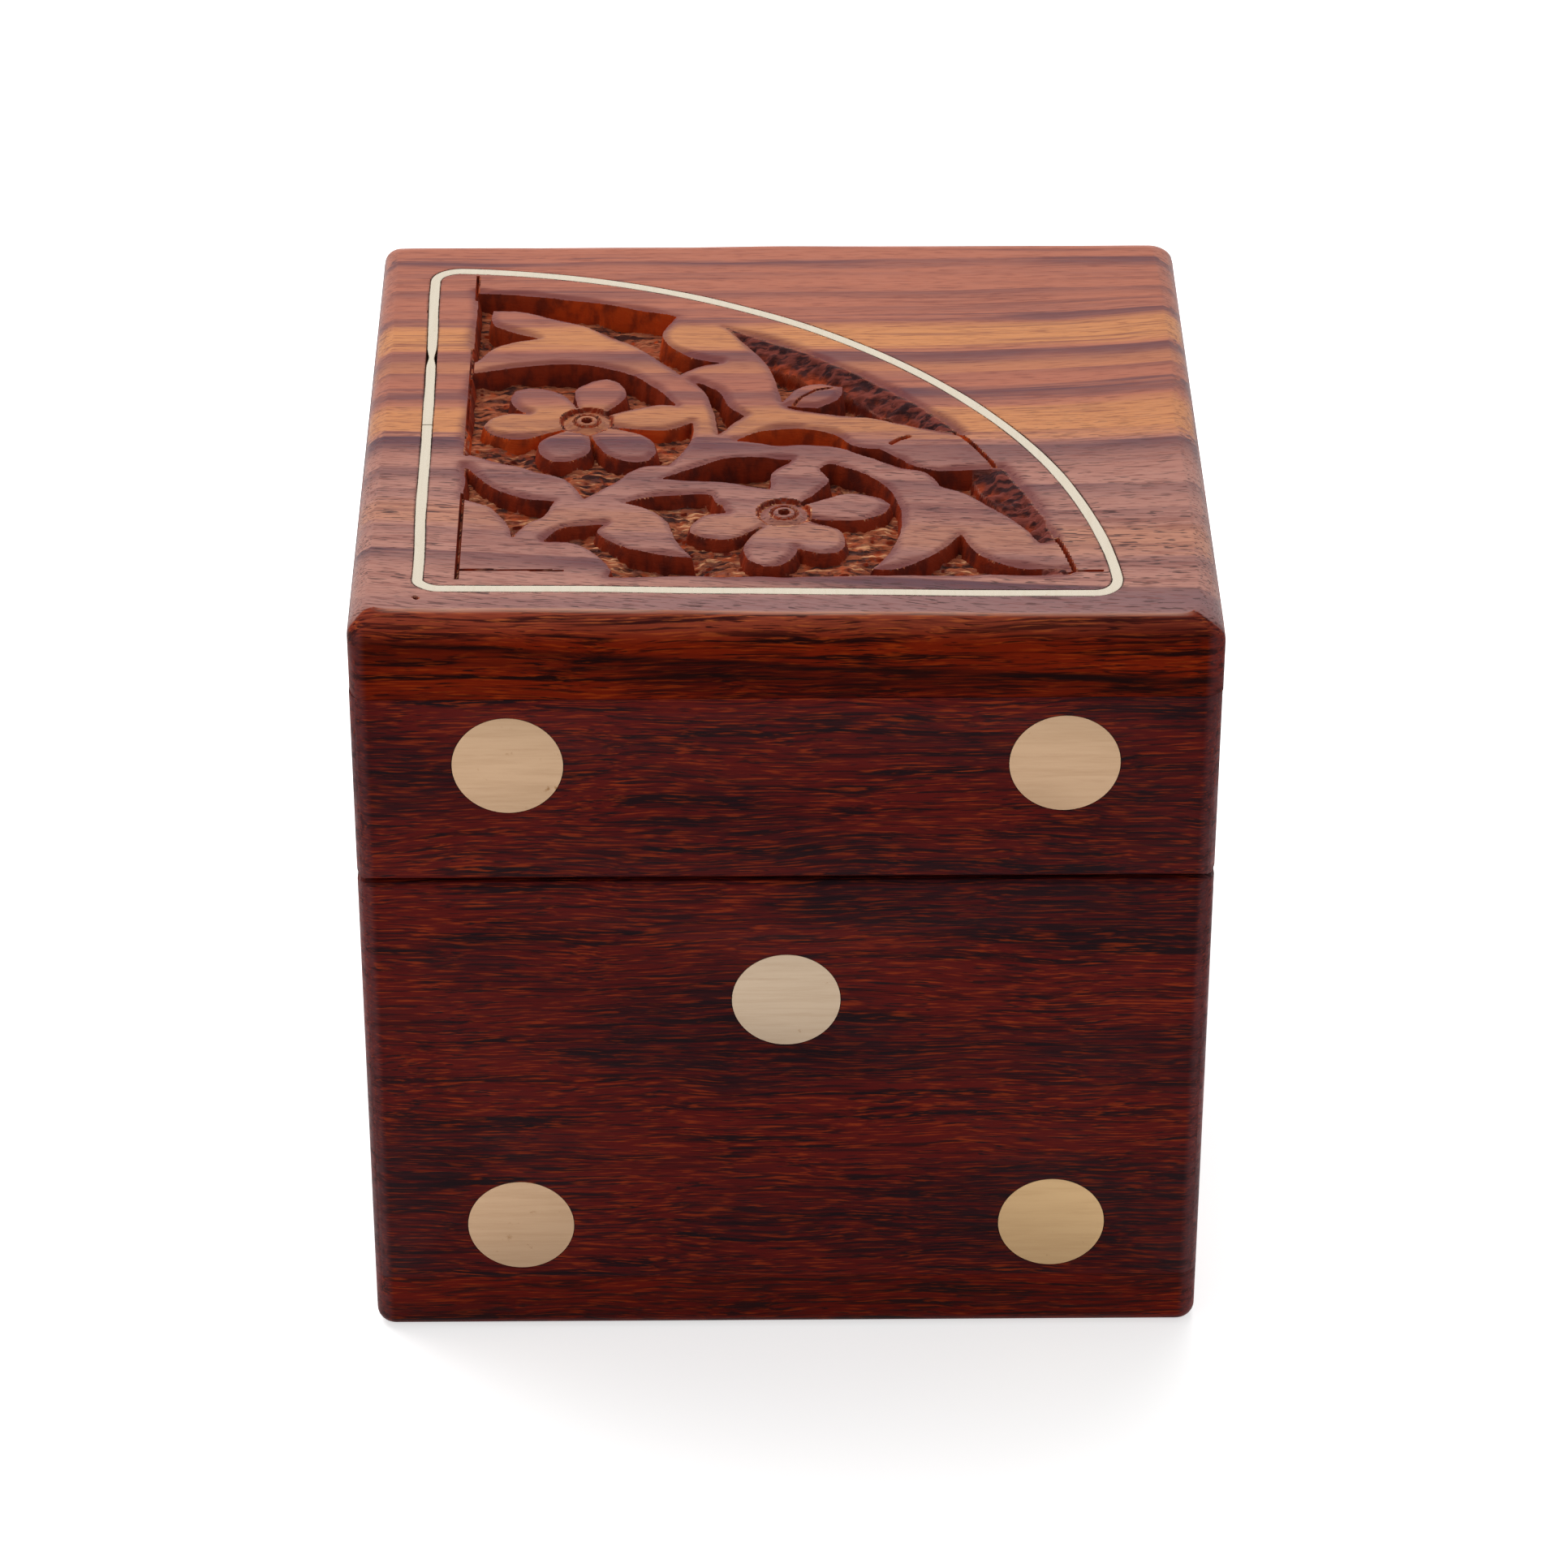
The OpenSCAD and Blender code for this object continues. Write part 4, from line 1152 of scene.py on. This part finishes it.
def make_bottom_board(material):
    """Bottom board with its lower edge and corners sanded round."""
    low, high = box_mm("bottom_board")
    turns = np.linspace(0, math.pi / 2, QUARTER_POINTS)
    # Rings from the top down: how far in from the faces, and their height
    rings = [(UPPER_CHAMFER, high[2]), (0, high[2] - UPPER_CHAMFER)]
    rings += [(FOOT_R * (1 - math.cos(t)), low[2] + FOOT_R * (1 - math.sin(t))) for t in turns]
    outline = []
    for quarter, (side_x, side_y) in enumerate([(1, 1), (-1, 1), (-1, -1), (1, -1)]):
        angles = turns + quarter * math.pi / 2
        centre = (HALF - CORNER_R) * (side_x, side_y)
        outline += [(*centre, math.cos(a), math.sin(a)) for a in angles]
    cx, cy, out_x, out_y = np.array(outline).T
    rows = []
    for inset, height in rings:
        radius = CORNER_R - inset
        rows.append(np.column_stack([cx + radius * out_x, cy + radius * out_y, np.full(len(cx), height)]))
    count = len(cx)
    faces = [tuple(range(count)), tuple(reversed(range((len(rows) - 1) * count, len(rows) * count)))]
    for row in range(len(rows) - 1):
        for i in range(count):
            a, b = row * count + i, row * count + (i + 1) % count
            faces.append((a, a + count, b + count, b))
    board = mesh_object("bottom_board_look", np.concatenate(rows), faces, material, "base", 35)
    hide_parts("bottom_board")


# Worn edges of the CAD pieces: reach of the weld, least angle in degrees, and steps across
WELD_REACH = 0.001
WORN_ANGLE = 30
WORN_STEPS = 2
# Grain of each side's walls: its turn about Z in degrees, and its offset
WALL_GRAIN = {
    "front": (0, (11, 3, 5)),
    "back": (0, (-40, 31, 8)),
    "left": (90, (5, 17, 3)),
    "right": (90, (60, -9, 21)),
}


def soften_edges(piece, width):
    """Takes the machine-sharp edges off a CAD piece for the picture; its mesh stays as it is."""
    piece.data.polygons.foreach_set("use_smooth", [True] * len(piece.data.polygons))
    weld = piece.modifiers.new("weld", "WELD")
    weld.merge_threshold = WELD_REACH * MM
    bevel = piece.modifiers.new("worn_edges", "BEVEL")
    bevel.width = width * MM
    bevel.segments = WORN_STEPS
    bevel.limit_method = "ANGLE"
    bevel.angle_limit = math.radians(WORN_ANGLE)
    bevel.harden_normals = True


def dress(node, material, worn):
    """Gives a CAD piece its material and slot, and edges worn to that width."""
    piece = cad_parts[node]
    piece.data.materials.clear()
    piece.data.materials.append(material)
    soften_edges(piece, worn)


def dress_walls():
    for side, (turn, offset) in WALL_GRAIN.items():
        material = wall_wood("wood_" + side, math.radians(turn), offset)
        for body in ("base", "lid"):
            dress(f"{body}_{side}_wall", material, 0.12)


def dress_pips():
    plain = brass("pip_brass", PIP_BRASS, PIP_TARNISH, 0, 0.42, 0.2)
    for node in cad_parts:
        if node in PIP_TONES:
            own = brass(node + "_brass", PIP_TONES[node], PIP_TARNISH, 0, 0.42, 0.1)
            dress(node, own, 0.05)
        elif "_pip_" in node:
            dress(node, plain, 0.05)


def dress_hinge():
    metal = brass("hinge_brass_look", *HINGE_BRASS, 0, 0.32, 0.6)
    for node in ("hinge_base_leaf", "hinge_lid_leaf", "hinge_pin"):
        dress(node, metal, 0.06)
    metal = brass("screw_brass_look", *SCREW_BRASS, 1, 0.3, 0.5)
    for node in ("base_hinge_screws", "lid_hinge_screws"):
        dress(node, metal, 0.04)


# Floor: half its side, how far it lies under the box, its grey, and its white as the camera sees it
FLOOR_HALF = 2000
FLOOR_SINK = 0.02
FLOOR_GREY = 0.62
FLOOR_WHITE = 0.9
FLOOR_LIFT = 0.62


def grey(share):
    return (share, share, share, 1)


def seen_or_mirrored(g):
    """Whether a ray comes from the camera, or by way of gloss or glass."""
    path = g.outputs("LightPath")
    mirrored = g.larger(path["Is Glossy Ray"], path["Is Transmission Ray"])
    return g.larger(mirrored, path["Is Camera Ray"])


def make_floor():
    """Pale floor that the camera sees as white, with the box's soft shadow on it."""
    material, g = new_material("floor")
    dull = g.node("BsdfDiffuse", {"Color": grey(FLOOR_GREY)})
    bright = g.node("BsdfDiffuse", {"Color": grey(FLOOR_WHITE)})
    lift = g.node("Emission", {"Color": grey(1), "Strength": FLOOR_LIFT})
    white = g.node("AddShader", {0: bright, 1: lift})
    g.surface(g.node("MixShader", {0: seen_or_mirrored(g), 1: dull, 2: white}))
    mesh = bpy.data.meshes.new("floor")
    half = FLOOR_HALF * MM
    corners = [(-half, -half), (half, -half), (half, half), (-half, half)]
    mesh.from_pydata([(x, y, -FLOOR_SINK * MM) for x, y in corners], [], [(0, 1, 2, 3)])
    mesh.materials.append(material)
    add_object("floor", mesh)


# Light: strength of the dim dome, and the softbox's size, power in watts, place and aim
DOME_STRENGTH = 0.38
SOFTBOX_SIZE = (700, 500)
SOFTBOX_POWER = 4.2
SOFTBOX_PLACE = (-120, 280, 600)
SOFTBOX_AIM = (0, 0, 50)


def make_light():
    """White surroundings for the camera and for gloss, a dim soft dome, and a softbox above and behind."""
    world = bpy.data.worlds.new("studio")
    world.use_nodes = True
    bpy.context.scene.world = world
    g = Graph(world.node_tree)
    strength = g.larger(seen_or_mirrored(g), DOME_STRENGTH)
    g.surface(g.node("Background", {"Color": grey(1), "Strength": strength}), "OutputWorld")

    data = bpy.data.lights.new("softbox", "AREA")
    data.shape = "RECTANGLE"
    data.size, data.size_y = (side * MM for side in SOFTBOX_SIZE)
    data.energy = SOFTBOX_POWER
    lamp = add_object("softbox", data)
    lamp.visible_glossy = False
    lamp.location = Vector(SOFTBOX_PLACE) * MM
    aim = Vector(SOFTBOX_AIM) * MM - lamp.location
    lamp.rotation_euler = aim.to_track_quat("-Z", "Y").to_euler()


make_camera()
make_light()
make_floor()
dress_walls()
dress_pips()
dress_hinge()
LINE = strip_line()
make_strip(LINE, brass("strip_brass", *STRIP_BRASS, 1, 0.2, 0.1))
make_top_board(LINE, top_wood("wood_top"), edge_wood("wood_top_edge"))
make_bottom_board(wall_wood("wood_bottom", 0, (90, 4, 40), BOTTOM_TONES))

bpy.context.scene.view_settings.view_transform = "Standard"
